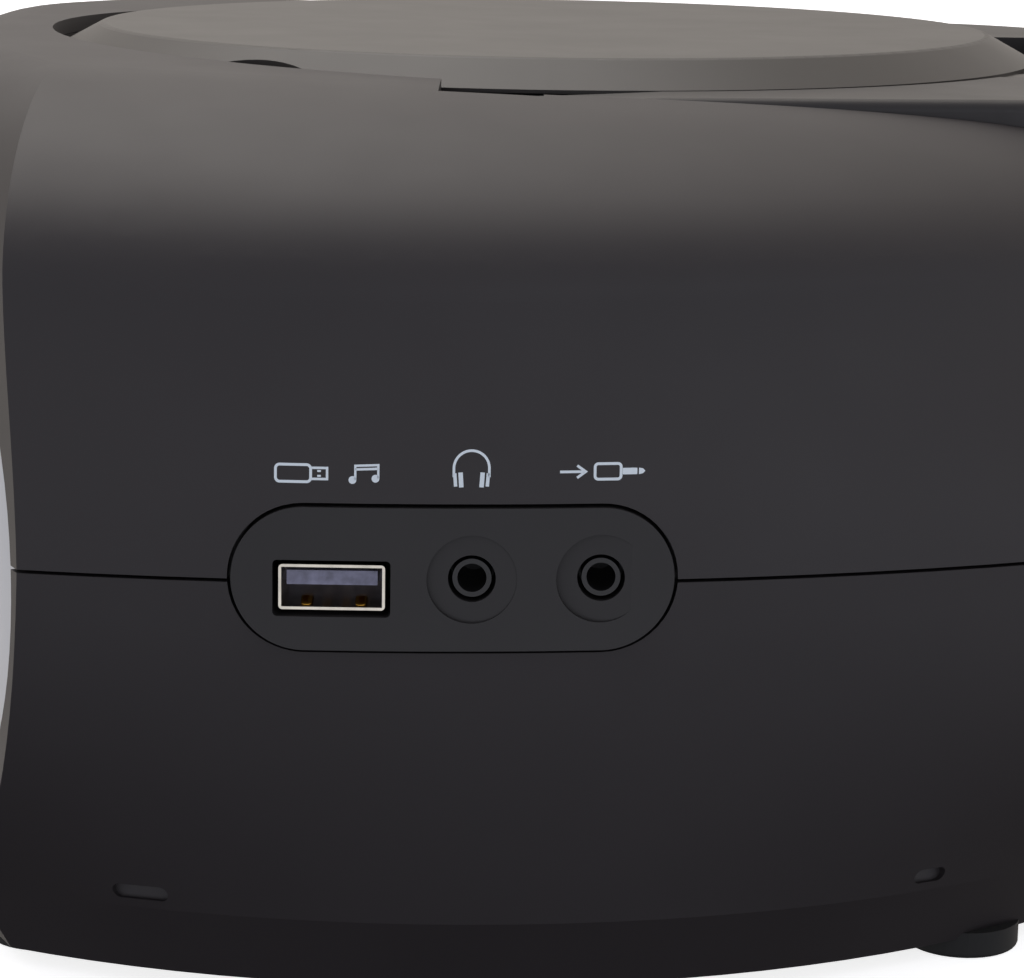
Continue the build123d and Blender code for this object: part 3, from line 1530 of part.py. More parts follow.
# Two-pin mains inlet
with BuildPart() as mains_inlet:
    with BuildSketch(rear_plane(rear_y, inlet_x, inlet_z)):
        SlotOverall(inlet_wide + 3, inlet_high + 3)
    extrude(amount=-inlet_deep - 2)
    with BuildSketch(rear_plane(rear_y - wall - fit_gap, inlet_x, inlet_z)):
        SlotOverall(inlet_wide + 7, inlet_high + 7)
    extrude(amount=-2)
    with BuildSketch(rear_plane(rear_y, inlet_x, inlet_z)):
        SlotOverall(inlet_wide, inlet_high)
    extrude(amount=-inlet_deep, mode=Mode.SUBTRACT)
    for side in (1, -1):
        with BuildSketch(rear_plane(rear_y - inlet_deep, inlet_x + side * inlet_pin_half, inlet_z)):
            Circle(inlet_pin_radius)
        extrude(amount=inlet_deep - 2)

# Battery box, open to the rear
with BuildPart() as lower_core:
    loft([section(level, wall + fit_gap) for level in lower_levels()])

with BuildPart() as battery_box:
    with Locations((0, (bay_front_y + 110) / 2, bay_low_z)):
        Box(2 * bay_half, 110 - bay_front_y, bay_high_z - bay_low_z, align=up)
    with Locations((0, (bay_front_y + bay_wall + 110) / 2, bay_low_z + bay_wall)):
        Box(
            2 * (bay_half - bay_wall),
            110 - bay_front_y - bay_wall,
            bay_high_z - bay_low_z - 2 * bay_wall,
            align=up,
            mode=Mode.SUBTRACT,
        )
    for x in (-26, 26):
        with Locations((x, (bay_front_y + 86) / 2, bay_low_z)):
            Box(1.4, 86 - bay_front_y, 10, align=up)
    add(lower_core.part, mode=Mode.INTERSECT)

with BuildPart() as battery_contacts:
    for side in (1, -1):
        for z in (26, 42):
            contact_x = side * (bay_half - bay_wall)
            with Locations((contact_x - side * 0.3, 66, z)):
                Box(0.6, 30, 10)
            with BuildSketch(side_plane(-side, 0.6 - abs(contact_x), 66, z)):
                Circle(3)
            extrude(amount=3, taper=20)

# Battery door, cut from the form of the shell and rounded about its hinge
with BuildPart() as battery_door:
    with Locations((0, 100, door_pin_z)):
        Box(2 * door_half, 30, door_high_z - door_pin_z, align=up)
    add(lower_form.part, mode=Mode.INTERSECT)
    add(lower_hollow.part, mode=Mode.SUBTRACT)
    with BuildSketch(Plane.YZ.offset(-door_half)):
        with Locations((door_pin_y, door_pin_z)):
            Circle(wall / 2)
    extrude(amount=2 * door_half)
    with BuildSketch(Plane.YZ.offset(-door_half - door_pin_long + 0.3)):
        with Locations((door_pin_y, door_pin_z)):
            Circle(door_pin_radius)
    extrude(amount=2 * (door_half + door_pin_long - 0.3))

# Main board with its larger components, and the mains transformer
with BuildPart() as main_board:
    with Locations((27, -15, main_board_z)):
        Box(114, 78, board_thick, align=up)
    for x, y, radius, high in ((-12, -40, 5, 16), (0, -42, 5, 16), (64, -38, 4, 12), (72, 4, 6.3, 18)):
        with Locations((x, y, main_board_z + board_thick)):
            Cylinder(radius, high, align=up)
    with Locations((24, -40, main_board_z + board_thick)):
        Box(34, 12, 20, align=up)
    for x, y in ((10, -12), (40, -10), (46, 10)):
        with Locations((x, y, main_board_z + board_thick)):
            Box(15, 9, 2.4, align=up)

with BuildPart() as transformer:
    with Locations((-62, -16, foot_height + wall)):
        Box(45, 20, 36, align=up)
        Box(26, 38, 26, align=up)
        Box(58, 12, 2, align=up)

pieces = {
    "housing_top": housing_top,
    "top_deck": top_deck,
    "grip_tray": grip_tray,
    "housing_bottom": housing_bottom,
    "rubber_feet": rubber_feet,
    "housing_screws": housing_screws,
    "handle": handle,
    "hinge_pins": hinge_pins,
    "lid": lid,
    "lid_arms": lid_arms,
    "lid_disc_clamp": lid_disc_clamp,
    "disc_well": disc_well,
    "traverse_chassis": traverse_chassis,
    "mech_dampers": mech_dampers,
    "guide_rods": guide_rods,
    "spindle_motor": spindle_motor,
    "spindle_hub": spindle_hub,
    "pickup_sled": pickup_sled,
    "pickup_lens": pickup_lens,
    "drive_gear": drive_gear,
    "sled_pinion": sled_pinion,
    "sled_motor": sled_motor,
    "speaker_frames": speaker_frames,
    "speaker_cones": speaker_cones,
    "control_fascia": control_fascia,
    "display_window": display_window,
    "display_module": display_module,
    "dial_scale": dial_scale,
    "dial_pointer": dial_pointer,
    "function_slider": function_slider,
    "panel_switches": panel_switches,
    "front_board": front_board,
    "jack_panel": jack_panel,
    "usb_socket_shell": usb_socket_shell,
    "usb_tongue": usb_tongue,
    "usb_contacts": usb_contacts,
    "jack_board": jack_board,
    "antenna_base": antenna_base,
    "antenna_outer_tube": antenna_outer_tube,
    "antenna_middle_tube": antenna_middle_tube,
    "antenna_inner_tube": antenna_inner_tube,
    "mains_inlet": mains_inlet,
    "battery_box": battery_box,
    "battery_contacts": battery_contacts,
    "battery_door": battery_door,
    "main_board": main_board,
    "transformer": transformer,
}
pieces.update(speaker_grilles)
pieces.update(knob_parts)
pieces.update(key_parts)
pieces.update(jack_parts)

os.makedirs("parts", exist_ok=True)
for name, piece in pieces.items():
    piece.part.label = name
    export_step(piece.part, f"parts/{name}.step")
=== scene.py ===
import math

import bmesh
import bpy
from mathutils import Matrix, Vector
from mathutils.bvhtree import BVHTree


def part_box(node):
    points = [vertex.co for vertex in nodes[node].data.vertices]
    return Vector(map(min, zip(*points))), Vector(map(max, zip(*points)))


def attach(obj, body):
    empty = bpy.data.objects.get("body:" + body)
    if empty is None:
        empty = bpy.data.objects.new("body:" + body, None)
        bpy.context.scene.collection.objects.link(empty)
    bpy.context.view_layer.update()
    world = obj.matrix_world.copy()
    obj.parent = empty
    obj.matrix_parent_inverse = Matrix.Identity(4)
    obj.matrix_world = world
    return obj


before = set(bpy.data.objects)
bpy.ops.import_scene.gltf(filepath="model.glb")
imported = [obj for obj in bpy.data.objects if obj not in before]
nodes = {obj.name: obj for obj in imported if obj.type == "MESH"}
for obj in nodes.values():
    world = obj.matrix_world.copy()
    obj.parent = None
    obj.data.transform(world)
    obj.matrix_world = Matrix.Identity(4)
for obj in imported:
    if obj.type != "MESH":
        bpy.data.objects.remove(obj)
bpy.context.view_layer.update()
scene = bpy.context.scene
print("frame loaded")

# Camera, at the right end of the set and looking down on it a little
cameraSet = {
    "place": (0.5271, 0.0, 0.1535),
    "yaw": -0.11,  # degrees
    "pitch": 11.85,
    "roll": 0.89,
    "lens": 113.98,  # mm, on a sensor 36 mm wide
}


def placeCamera(spec):
    yaw, pitch, roll = (math.radians(spec[word]) for word in ("yaw", "pitch", "roll"))
    forward = Vector((-math.cos(pitch) * math.cos(yaw), math.cos(pitch) * math.sin(yaw), -math.sin(pitch)))
    right = Vector((math.sin(yaw), math.cos(yaw), 0))
    upward = right.cross(forward)
    across = math.cos(roll) * right + math.sin(roll) * upward
    over = -math.sin(roll) * right + math.cos(roll) * upward
    data = bpy.data.cameras.new("camera")
    data.sensor_width = 36
    data.lens = spec["lens"]
    data.clip_start, data.clip_end = 0.01, 20
    camera = bpy.data.objects.new("camera", data)
    turn = Matrix((across, over, -forward)).transposed().to_4x4()
    camera.matrix_world = Matrix.Translation(spec["place"]) @ turn
    scene.collection.objects.link(camera)
    scene.camera = camera


placeCamera(cameraSet)
print("camera placed")


# Finishes
def linear(hexColour):  # sRGB hex string to scene-linear colour
    values = [int(hexColour[i : i + 2], 16) / 255 for i in (0, 2, 4)]
    return [v / 12.92 if v <= 0.04045 else ((v + 0.055) / 1.055) ** 2.4 for v in values] + [1.0]


def addNode(tree, kind, settings=None, inputs=None):  # a shader node, its settings, and values or links
    node = tree.nodes.new("ShaderNode" + kind)
    for name, value in (settings or {}).items():
        setattr(node, name, value)
    for name, value in (inputs or {}).items():
        if isinstance(value, bpy.types.NodeSocket):
            tree.links.new(value, node.inputs[name])
        else:
            node.inputs[name].default_value = value
    return node


# What a finish has where its own dictionary says nothing; sizes are in millimetres
plainLook = {
    "rough": 0.5,
    "roughSpread": 0.03,  # how far roughness drifts over the surface
    "tone": 0.05,  # how far the colour drifts, as a share
    "patch": 25.0,  # size of the drifting patches
    "grain": 0.35,  # size of the grain that the bump draws
    "depth": 0.015,  # height of the grain
    "strength": 0.25,
    "stretch": (1, 1, 1),  # grain drawn out along an axis
    "metallic": 0.0,
    "ior": 1.5,
    "level": 0.5,
    "coat": 0.0,
    "coatRough": 0.04,
    "alpha": 1.0,
    "rub": 14.0,  # size of the patches where the roughness differs
    "stops": (0.3, 0.7),  # noise values that get the darkest and lightest tone
}

finishSpecs = {
    # Soft-touch lacquer on moulded ABS: matt, and a broad soft light along the shoulder.
    # The real grain is under 0.1 mm, drawn at 0.3 mm so that it shows.
    "softTouchAbs": {
        "nodes": ["housing_top", "top_deck", "grip_tray", "housing_bottom", "battery_door"],
        "colour": "2a2628",
        "rough": 0.55,
        "grain": 0.3,
        "depth": 0.012,
        "strength": 0.22,
        "tone": 0.04,
        "ior": 1.53,
        "level": 0.42,
    },
    # Spark-eroded ABS of the handle, a little shinier where hands rub it
    "erodedAbs": {
        "nodes": ["handle"],
        "colour": "262324",
        "rough": 0.48,
        "roughSpread": 0.06,
        "grain": 0.3,
        "strength": 0.25,
        "ior": 1.53,
        "level": 0.4,
    },
    # Polished styrene of the lid, warm, with the faint waves of a thin moulding
    "polishedStyrene": {
        "nodes": ["lid", "lid_arms"],
        "colour": "2a2624",
        "rough": 0.45,
        "grain": 6.0,
        "depth": 0.02,
        "strength": 0.12,
        "ior": 1.55,
        "level": 0.5,
    },
    # Fine-grained styrene under the lid: a dull near-black bowl that the bright lens stands out from
    "wellStyrene": {"nodes": ["disc_well", "spindle_hub"], "colour": "161616", "ior": 1.55},
    # Spark-eroded ABS round the side sockets: a touch more neutral than the housing, with a finer grain
    "panelAbs": {
        "nodes": ["jack_panel"],
        "colour": "262425",
        "grain": 0.25,
        "strength": 0.3,
        "tone": 0.04,
        "ior": 1.53,
        "level": 0.4,
    },
    # Moulded nylon of the sockets: a slick dark ring round each hole
    "socketNylon": {
        "nodes": ["headphone_jack", "aux_jack", "mains_inlet"],
        "colour": "1c1b1c",
        "rough": 0.38,
        "grain": 0.3,
        "depth": 0.01,
        "ior": 1.53,
    },
    # Plain moulded ABS of inner and small pieces: even dark grey with no gloss
    "mouldedAbs": {
        "nodes": [
            "lid_disc_clamp",
            "traverse_chassis",
            "pickup_sled",
            "function_slider",
            "panel_switches",
            "battery_box",
            "volume_knob",
            "tuning_knob",
            "antenna_base",
        ],
        "colour": "1b1b1b",
        "ior": 1.53,
    },
    # Polished acrylic-faced ABS of the front panel, deep and slightly wavy
    "polishedFascia": {
        "nodes": ["control_fascia"],
        "colour": "121214",
        "rough": 0.2,
        "grain": 5.0,
        "depth": 0.01,
        "strength": 0.1,
        "coat": 0.6,
        "ior": 1.5,
    },
    # Moulded rubber of the feet: flat black with no highlight
    "mouldedRubber": {
        "nodes": ["rubber_feet"],
        "colour": "151515",
        "rough": 0.8,
        "tone": 0.1,
        "grain": 0.6,
        "depth": 0.04,
        "strength": 0.5,
        "ior": 1.52,
    },
    # Silicone of the dampers: soft grey against the black chassis
    "siliconeRubber": {
        "nodes": ["mech_dampers"],
        "colour": "2a2a2a",
        "rough": 0.7,
        "grain": 0.6,
        "depth": 0.03,
        "strength": 0.4,
        "ior": 1.41,
    },
    # Natural nylon of the gears: off-white and waxy
    "naturalNylon": {
        "nodes": ["drive_gear", "sled_pinion"],
        "colour": "dcd8cc",
        "rough": 0.4,
        "grain": 0.5,
        "tone": 0.03,
        "ior": 1.53,
    },
    # Solder mask over glass laminate, with the weave just showing
    "solderMask": {
        "nodes": ["front_board", "jack_board", "main_board"],
        "colour": "1d5a35",
        "rough": 0.35,
        "tone": 0.1,
        "grain": 0.8,
        "depth": 0.03,
        "strength": 0.4,
        "coat": 0.3,
    },
    # Screen-printed plate of the tuning scale: a dark ground for the white figures
    "printedPlate": {"nodes": ["dial_scale"], "colour": "202126", "rough": 0.4},
    # Dyed acrylic of the pointer: the one red line on the scale
    "redAcrylic": {
        "nodes": ["dial_pointer"],
        "colour": "c22a1c",
        "rough": 0.3,
        "grain": 0.5,
        "depth": 0.01,
        "strength": 0.1,
        "ior": 1.49,
    },
    # Liquid crystal glass, grey-green with a silky backing
    "crystalGlass": {
        "nodes": ["display_module"],
        "colour": "a3b096",
        "rough": 0.25,
        "tone": 0.04,
        "grain": 0.6,
        "depth": 0.01,
        "strength": 0.1,
        "coat": 0.4,
    },
    # Silver lacquer on the ABS keys: an even pale sheen
    "silverKeys": {
        "nodes": ["key_previous", "key_play", "key_next", "key_stop", "key_mode"],
        "colour": "a9abae",
        "rough": 0.3,
        "tone": 0.03,
        "grain": 0.4,
        "depth": 0.01,
        "strength": 0.2,
        "coat": 0.2,
    },
    # Moulded tongue of the rectangular socket, bluish grey with flow marks
    "mouldedTongue": {
        "nodes": ["usb_tongue"],
        "colour": "74748a",
        "rough": 0.3,
        "tone": 0.35,
        "patch": 1.6,
        "grain": 0.8,
        "depth": 0.03,
        "strength": 0.4,
        "stretch": (1, 0.25, 1),
    },
    # Pressed paper pulp of the speaker cones, fibrous and dull
    "pressedPulp": {
        "nodes": ["speaker_cones"],
        "colour": "1c1c1f",
        "rough": 0.75,
        "tone": 0.12,
        "grain": 0.8,
        "depth": 0.08,
        "strength": 0.6,
        "level": 0.3,
    },
    # Silver lacquer on the pressed steel grilles: the pale sliver at the picture's left border
    "silverGrille": {
        "nodes": ["speaker_grille_right", "speaker_grille_left"],
        "colour": "c9ccd2",
        "rough": 0.33,
        "tone": 0.03,
        "grain": 0.4,
        "depth": 0.01,
        "strength": 0.2,
        "coat": 0.2,
    },
    # Black lacquer on the pressed steel baskets: a dull shine deep behind the slots
    "blackBasket": {
        "nodes": ["speaker_frames"],
        "colour": "222326",
        "rough": 0.4,
        "grain": 0.8,
        "depth": 0.02,
        "strength": 0.3,
    },
    # Varnished laminations of the transformer: fine level lines
    "varnishedSteel": {
        "nodes": ["transformer"],
        "colour": "4a4746",
        "tone": 0.15,
        "grain": 0.9,
        "depth": 0.06,
        "strength": 0.5,
        "stretch": (1, 1, 0.1),
    },
    # Screen-printed inks: flat and sharp-edged, white on the shell and dark on the keys
    "whiteInk": {"nodes": [], "colour": "e4eef6", "grain": 0.3, "depth": 0.01, "strength": 0.1, "tone": 0.02},
    "darkInk": {"nodes": [], "colour": "17181a", "grain": 0.3, "depth": 0.01, "strength": 0.1, "tone": 0.02},
    # Turned steel of pins and screws: small bright lines in dark holes
    "turnedSteel": {
        "nodes": ["hinge_pins", "housing_screws"],
        "colour": "b9b9bb",
        "metallic": 1.0,
        "rough": 0.28,
        "grain": 0.4,
        "depth": 0.01,
        "strength": 0.2,
    },
    # Zinc-plated steel cans: broad blurred grey reflections
    "zincSteel": {
        "nodes": ["spindle_motor", "sled_motor", "volume_pot", "tuning_capacitor"],
        "colour": "a7a8aa",
        "metallic": 1.0,
        "rough": 0.35,
        "grain": 0.4,
        "depth": 0.01,
        "strength": 0.2,
    },
    # Ground steel rods: one sharp bright streak along each
    "groundSteel": {
        "nodes": ["guide_rods"],
        "colour": "d6d7da",
        "metallic": 1.0,
        "rough": 0.14,
        "grain": 0.4,
        "depth": 0.01,
        "strength": 0.2,
        "stretch": (0.1, 1, 1),
    },
    # Bright chromium on the aerial's brass tubes: a mirror line from end to end
    "brightChromium": {
        "nodes": ["antenna_outer_tube", "antenna_middle_tube", "antenna_inner_tube"],
        "colour": "dadcdf",
        "metallic": 1.0,
        "rough": 0.1,
        "grain": 0.4,
        "depth": 0.01,
        "strength": 0.1,
        "stretch": (0.05, 1, 1),
    },
    # Nickel plating of the rectangular socket's shell, warm in this light
    "brightNickel": {
        "nodes": ["usb_socket_shell"],
        "colour": "d9d2c2",
        "metallic": 1.0,
        "rough": 0.2,
        "roughSpread": 0.06,
        "tone": 0.12,
        "patch": 2.0,
        "grain": 0.4,
        "depth": 0.01,
        "strength": 0.2,
    },
    # Gold flash on the contact springs: two warm glints in the dark socket
    "goldFlash": {
        "nodes": ["usb_contacts"],
        "colour": "d9a441",
        "metallic": 1.0,
        "rough": 0.25,
        "grain": 0.4,
        "depth": 0.01,
        "strength": 0.2,
    },
    # Nickel-plated spring steel in the battery bay: pale grey glints
    "springNickel": {
        "nodes": ["battery_contacts"],
        "colour": "c4c6c8",
        "metallic": 1.0,
        "rough": 0.3,
        "grain": 0.4,
        "depth": 0.01,
        "strength": 0.2,
    },
    # Smoked clear styrene of the window: darkens the scale and mirrors the room a little
    "smokedStyrene": {
        "nodes": ["display_window"],
        "colour": "2c2e32",
        "rough": 0.06,
        "roughSpread": 0.01,
        "grain": 2.0,
        "depth": 0.004,
        "strength": 0.1,
        "coat": 0.5,
        "alpha": 0.2,
    },
    # Bloomed lens of the pickup: a small blue glint in the dark well
    "bloomedLens": {
        "nodes": ["pickup_lens"],
        "colour": "8ea2d8",
        "rough": 0.04,
        "roughSpread": 0.01,
        "grain": 2.0,
        "depth": 0.004,
        "strength": 0.1,
        "coat": 0.5,
        "alpha": 0.6,
    },
    # Matt white paper of the floor: no gloss, so that only the soft shadow shows
    "mattPaper": {"nodes": [], "colour": "f6f6f6", "rough": 0.9, "grain": 4.0, "depth": 0.02, "tone": 0.01},
}


def makeFinish(name, spec):
    look = {**plainLook, **spec}
    material = bpy.data.materials.new(name)
    material.use_nodes = True
    tree = material.node_tree
    shader = tree.nodes["Principled BSDF"]
    place = addNode(tree, "TexCoord").outputs["Object"]
    drift = addNode(tree, "TexNoise", {}, {"Vector": place, "Scale": 1000 / look["patch"], "Detail": 3.0})
    ramp = addNode(tree, "ValToRGB", {}, {"Fac": drift.outputs["Fac"]})
    base = linear(look["colour"])
    for stop, where, way in zip(ramp.color_ramp.elements, look["stops"], (-1, 1)):
        stop.position = where
        stop.color = [c * (1 + way * look["tone"]) for c in base[:3]] + [1]
    along = addNode(tree, "Mapping", {}, {"Vector": place, "Scale": look["stretch"]}).outputs["Vector"]
    grain = addNode(tree, "TexNoise", {}, {"Vector": along, "Scale": 1000 / look["grain"], "Detail": 2.0})
    height = {"Height": grain.outputs["Fac"], "Strength": look["strength"], "Distance": look["depth"] / 1000}
    bump = addNode(tree, "Bump", {}, height)
    rub = addNode(tree, "TexNoise", {}, {"Vector": place, "Scale": 1000 / look["rub"], "Detail": 2.0})
    low, high = look["rough"] - look["roughSpread"], look["rough"] + look["roughSpread"]
    rubbed = addNode(tree, "MapRange", {}, {"Value": rub.outputs["Fac"], "To Min": low, "To Max": high})
    tree.links.new(ramp.outputs["Color"], shader.inputs["Base Color"])
    tree.links.new(bump.outputs["Normal"], shader.inputs["Normal"])
    tree.links.new(rubbed.outputs["Result"], shader.inputs["Roughness"])
    shader.inputs["Metallic"].default_value = look["metallic"]
    if look["metallic"] == 0:
        shader.inputs["IOR"].default_value = look["ior"]
    shader.inputs["Specular IOR Level"].default_value = look["level"]
    shader.inputs["Coat Weight"].default_value = look["coat"]
    shader.inputs["Coat Roughness"].default_value = look["coatRough"]
    shader.inputs["Alpha"].default_value = look["alpha"]
    return material


finishes = {name: makeFinish(name, spec) for name, spec in finishSpecs.items()}
for name, spec in finishSpecs.items():
    for member in spec["nodes"]:
        for slot in nodes[member].material_slots:
            slot.material = finishes[name]
print("finishes set")


# Outlines for the prints, flat and in millimetres
def disc(x, y, radius, count=20):
    turns = [2 * math.pi * i / count for i in range(count)]
    return [(x + radius * math.cos(turn), y + radius * math.sin(turn)) for turn in turns]


def bar(x0, y0, x1, y1, radius, steps=5):  # rectangle with rounded corners
    points = []
    left, right, low, high = x0 + radius, x1 - radius, y0 + radius, y1 - radius
    for corner, (cx, cy) in enumerate(((right, high), (left, high), (left, low), (right, low))):
        for step in range(steps + 1):
            turn = math.radians(90 * corner + 90 * step / steps)
            points.append((cx + radius * math.cos(turn), cy + radius * math.sin(turn)))
    return points


def arc(x, y, radius, start, end, steps=24):  # points on part of a circle
    turns = [math.radians(start + (end - start) * i / steps) for i in range(steps + 1)]
    return [(x + radius * math.cos(turn), y + radius * math.sin(turn)) for turn in turns]


def stroke(path, width, closed=False):  # quads along a path, mitred at its corners
    count = len(path)
    left, right = [], []
    for i, point in enumerate(path):
        here = Vector(point)
        ways = []
        if i or closed:
            ways.append((here - Vector(path[i - 1])).normalized())
        if i + 1 < count or closed:
            ways.append((Vector(path[(i + 1) % count]) - here).normalized())
        way = sum(ways, Vector((0, 0))).normalized()
        side = Vector((-way.y, way.x))
        reach = width / 2 / max(0.4, side.dot(Vector((-ways[0].y, ways[0].x))))
        left.append(tuple(here + side * reach))
        right.append(tuple(here - side * reach))
    last = count if closed else count - 1
    return [[left[i], right[i], right[(i + 1) % count], left[(i + 1) % count]] for i in range(last)]


def triangle(x, way, size=1.5):
    return [(x, -size), (x + way * size * 1.5, 0), (x, size)]


def mirrored(outlines):
    return [[(-x, y) for x, y in reversed(outline)] for outline in outlines]


# Laying prints on the pieces
def surfaceOf(*names):  # the tree that rays find a surface with
    vertices, faces = [], []
    for name in names:
        mesh = nodes[name].data
        start = len(vertices)
        vertices += [vertex.co.copy() for vertex in mesh.vertices]
        faces += [[start + index for index in polygon.vertices] for polygon in mesh.polygons]
    return BVHTree.FromPolygons(vertices, faces)


inkPad = {"lift": 0.03, "thick": 0.04, "facet": 0.6}  # mm over the surface, mm of ink, longest edge


def printOn(name, outlines, spec):
    build = bmesh.new()
    for outline in outlines:
        build.faces.new([build.verts.new((x, y, 0)) for x, y in outline])
    bmesh.ops.remove_doubles(build, verts=build.verts, dist=0.002)
    bmesh.ops.triangulate(build, faces=build.faces)
    for _ in range(2):
        long = [edge for edge in build.edges if edge.calc_length() > inkPad["facet"]]
        if long:
            bmesh.ops.subdivide_edges(build, edges=long, cuts=1)
            bmesh.ops.triangulate(build, faces=build.faces)
    tree = surfaceOf(spec["on"])
    across, up = spec["at"]
    for vertex in build.verts:
        u, v = (across + vertex.co.x) / 1000, (up + vertex.co.y) / 1000
        fromRight = spec["from"] == "right"
        start = Vector((0.2, u, v)) if fromRight else Vector((u, -0.2, v))
        aim = Vector((-1, 0, 0)) if fromRight else Vector((0, 1, 0))
        found = tree.ray_cast(start, aim)[0]
        vertex.co = (start if found is None else found) - aim * inkPad["lift"] / 1000
    mesh = bpy.data.meshes.new(name)
    build.to_mesh(mesh)
    build.free()
    piece = bpy.data.objects.new(name, mesh)
    scene.collection.objects.link(piece)
    ink = piece.modifiers.new("ink", "SOLIDIFY")
    ink.thickness = inkPad["thick"] / 1000
    ink.offset = 0
    mesh.materials.append(finishes[spec["ink"]])
    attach(piece, spec["body"])


# Memory stick and a pair of quavers, over the rectangular socket
stickPrint = {
    "on": "housing_top",
    "from": "right",
    "at": (-22.3, 73.9),
    "body": "housing",
    "ink": "whiteInk",
    "line": 0.34,
}
stick = stroke(bar(-7.3, -1.05, -3.0, 1.05, 0.5), stickPrint["line"], True)
stick += stroke([(-3.0, 0.68), (-1.0, 0.68), (-1.0, -0.68), (-3.0, -0.68)], 0.3)
stick += [bar(-2.2, 0.18, -1.75, 0.42, 0.05), bar(-2.2, -0.42, -1.75, -0.18, 0.05)]
stick += [disc(2.1, -0.75, 0.48), disc(4.9, -0.55, 0.48)]
stick += stroke([(2.44, -0.7), (2.44, 1.0), (5.24, 1.12), (5.24, -0.5)], 0.28)
stick += stroke([(2.44, 0.55), (5.24, 0.67)], 0.3)
printOn("stickPrint", stick, stickPrint)

# Headphones, over the middle socket
headphonePrint = {**stickPrint, "at": (-5.7, 74.9), "line": 0.32}
phones = stroke([(-2.16, -1.3)] + arc(0, -0.2, 2.16, 180, 0, 30) + [(2.16, -1.3)], headphonePrint["line"])
for place, lift, width in ((1.35, 0, 0.55), (2.05, 0.1, 0.42)):
    shell = stroke([(place - 0.12, -2.55 + lift), (place, -0.72 - lift)], width)
    phones += shell + mirrored(shell)
printOn("headphonePrint", phones, headphonePrint)

# Arrow into a plug, over the right-hand socket
plugPrint = {**stickPrint, "at": (10.3, 74.2), "line": 0.34}
plug = stroke(bar(-0.9, -0.95, 2.3, 0.95, 0.4), plugPrint["line"], True)
plug += [bar(2.5, -0.4, 4.3, 0.4, 0.08), [(4.5, -0.4), (5.0, -0.3), (5.3, 0.0), (5.0, 0.3), (4.5, 0.4)]]
plug += stroke([(-5.2, 0), (-2.2, 0)], 0.32) + stroke([(-3.1, 0.75), (-2.05, 0), (-3.1, -0.75)], 0.32)
printOn("plugPrint", plug, plugPrint)
print("side prints made")

# Pictograms on the keys
keyPrints = {"pitch": 15.2, "height": 51.5, "ink": "darkInk"}
keyMarks = {
    "previous": [triangle(0.1, -1), triangle(2.4, -1), bar(-2.8, -1.5, -2.3, 1.5, 0.05)],
    "play": [triangle(-2.6, 1, 1.6), bar(0.6, -1.6, 1.2, 1.6, 0.05), bar(1.9, -1.6, 2.5, 1.6, 0.05)],
    "next": [triangle(-0.1, 1), triangle(-2.4, 1), bar(2.3, -1.5, 2.8, 1.5, 0.05)],
    "stop": [bar(-1.5, -1.5, 1.5, 1.5, 0.1)],
    "mode": stroke(arc(0, 0, 1.7, 40, 330), 0.45) + [[(1.9, -2.1), (1.9, -0.3), (0.5, -1.5)]],
}
for index, (word, mark) in enumerate(keyMarks.items()):
    key = "key_" + word
    place = (keyPrints["pitch"] * (index - 2), keyPrints["height"])
    spec = {"on": key, "from": "front", "at": place, "body": key, "ink": keyPrints["ink"]}
    printOn(word + "Print", mark, spec)

# Disc, radio mast and plugged-in signs over the slider
sourcePrint = {
    "on": "control_fascia",
    "from": "front",
    "at": (0, 38.9),
    "body": "housing",
    "ink": "whiteInk",
    "line": 0.26,
}
source = stroke(arc(-5.5, 0, 1.45, 0, 345), sourcePrint["line"], True) + [disc(-5.5, 0, 0.4)]
source += [disc(0, 0.3, 0.36)] + stroke([(0, 0.3), (0, -1.6)], 0.3)
for radius in (1.05, 1.75):
    wave = stroke(arc(0, 0.3, radius, -42, 42, 12), sourcePrint["line"])
    source += wave + mirrored(wave)
source += stroke([(4.2, 0), (6.2, 0)], 0.26) + stroke([(5.5, 0.75), (6.3, 0), (5.5, -0.75)], 0.26)
source += stroke([(7.0, 1.1), (7.0, -1.1)], 0.26)
printOn("sourcePrint", source, sourcePrint)

# Growing wedge round the volume knob
volumePrint = {**sourcePrint, "at": (-27, 33.5), "inner": 12.1, "thin": 0.1, "thick": 0.75, "steps": 40}
wedge = []
for step in range(volumePrint["steps"]):
    quad = []
    for at, order in ((step, (0, 1)), (step + 1, (1, 0))):
        turn = math.radians(210 - 240 * at / volumePrint["steps"])
        grown = volumePrint["thin"] + (volumePrint["thick"] - volumePrint["thin"]) * at / volumePrint["steps"]
        radii = (volumePrint["inner"], volumePrint["inner"] + grown)
        quad += [(radii[i] * math.cos(turn), radii[i] * math.sin(turn)) for i in order]
    wedge.append(quad)
printOn("volumePrint", wedge, volumePrint)

# Two-way arrow over the tuning knob
tuningPrint = {**sourcePrint, "at": (27, 33.5), "radius": 12.4}
turnMark = stroke(arc(0, 0, tuningPrint["radius"], 140, 40, 30), tuningPrint["line"])
tip = Vector(arc(0, 0, tuningPrint["radius"], 32, 32, 1)[0])
head = [tuple(tip), tuple(tip + Vector((0.25, 1.75))), tuple(tip + Vector((-1.25, 1.25)))]
printOn("tuningPrint", turnMark + [head] + mirrored([head]), tuningPrint)

# White lines let into the grooves of the knobs
for knob, x in (("volume_knob", -27), ("tuning_knob", 27)):
    spec = {"on": knob, "from": "front", "at": (x, 33.5), "body": knob, "ink": "whiteInk"}
    printOn(knob + "Mark", [bar(-0.35, 5.9, 0.35, 9.3, 0.2)], spec)
print("front prints made")

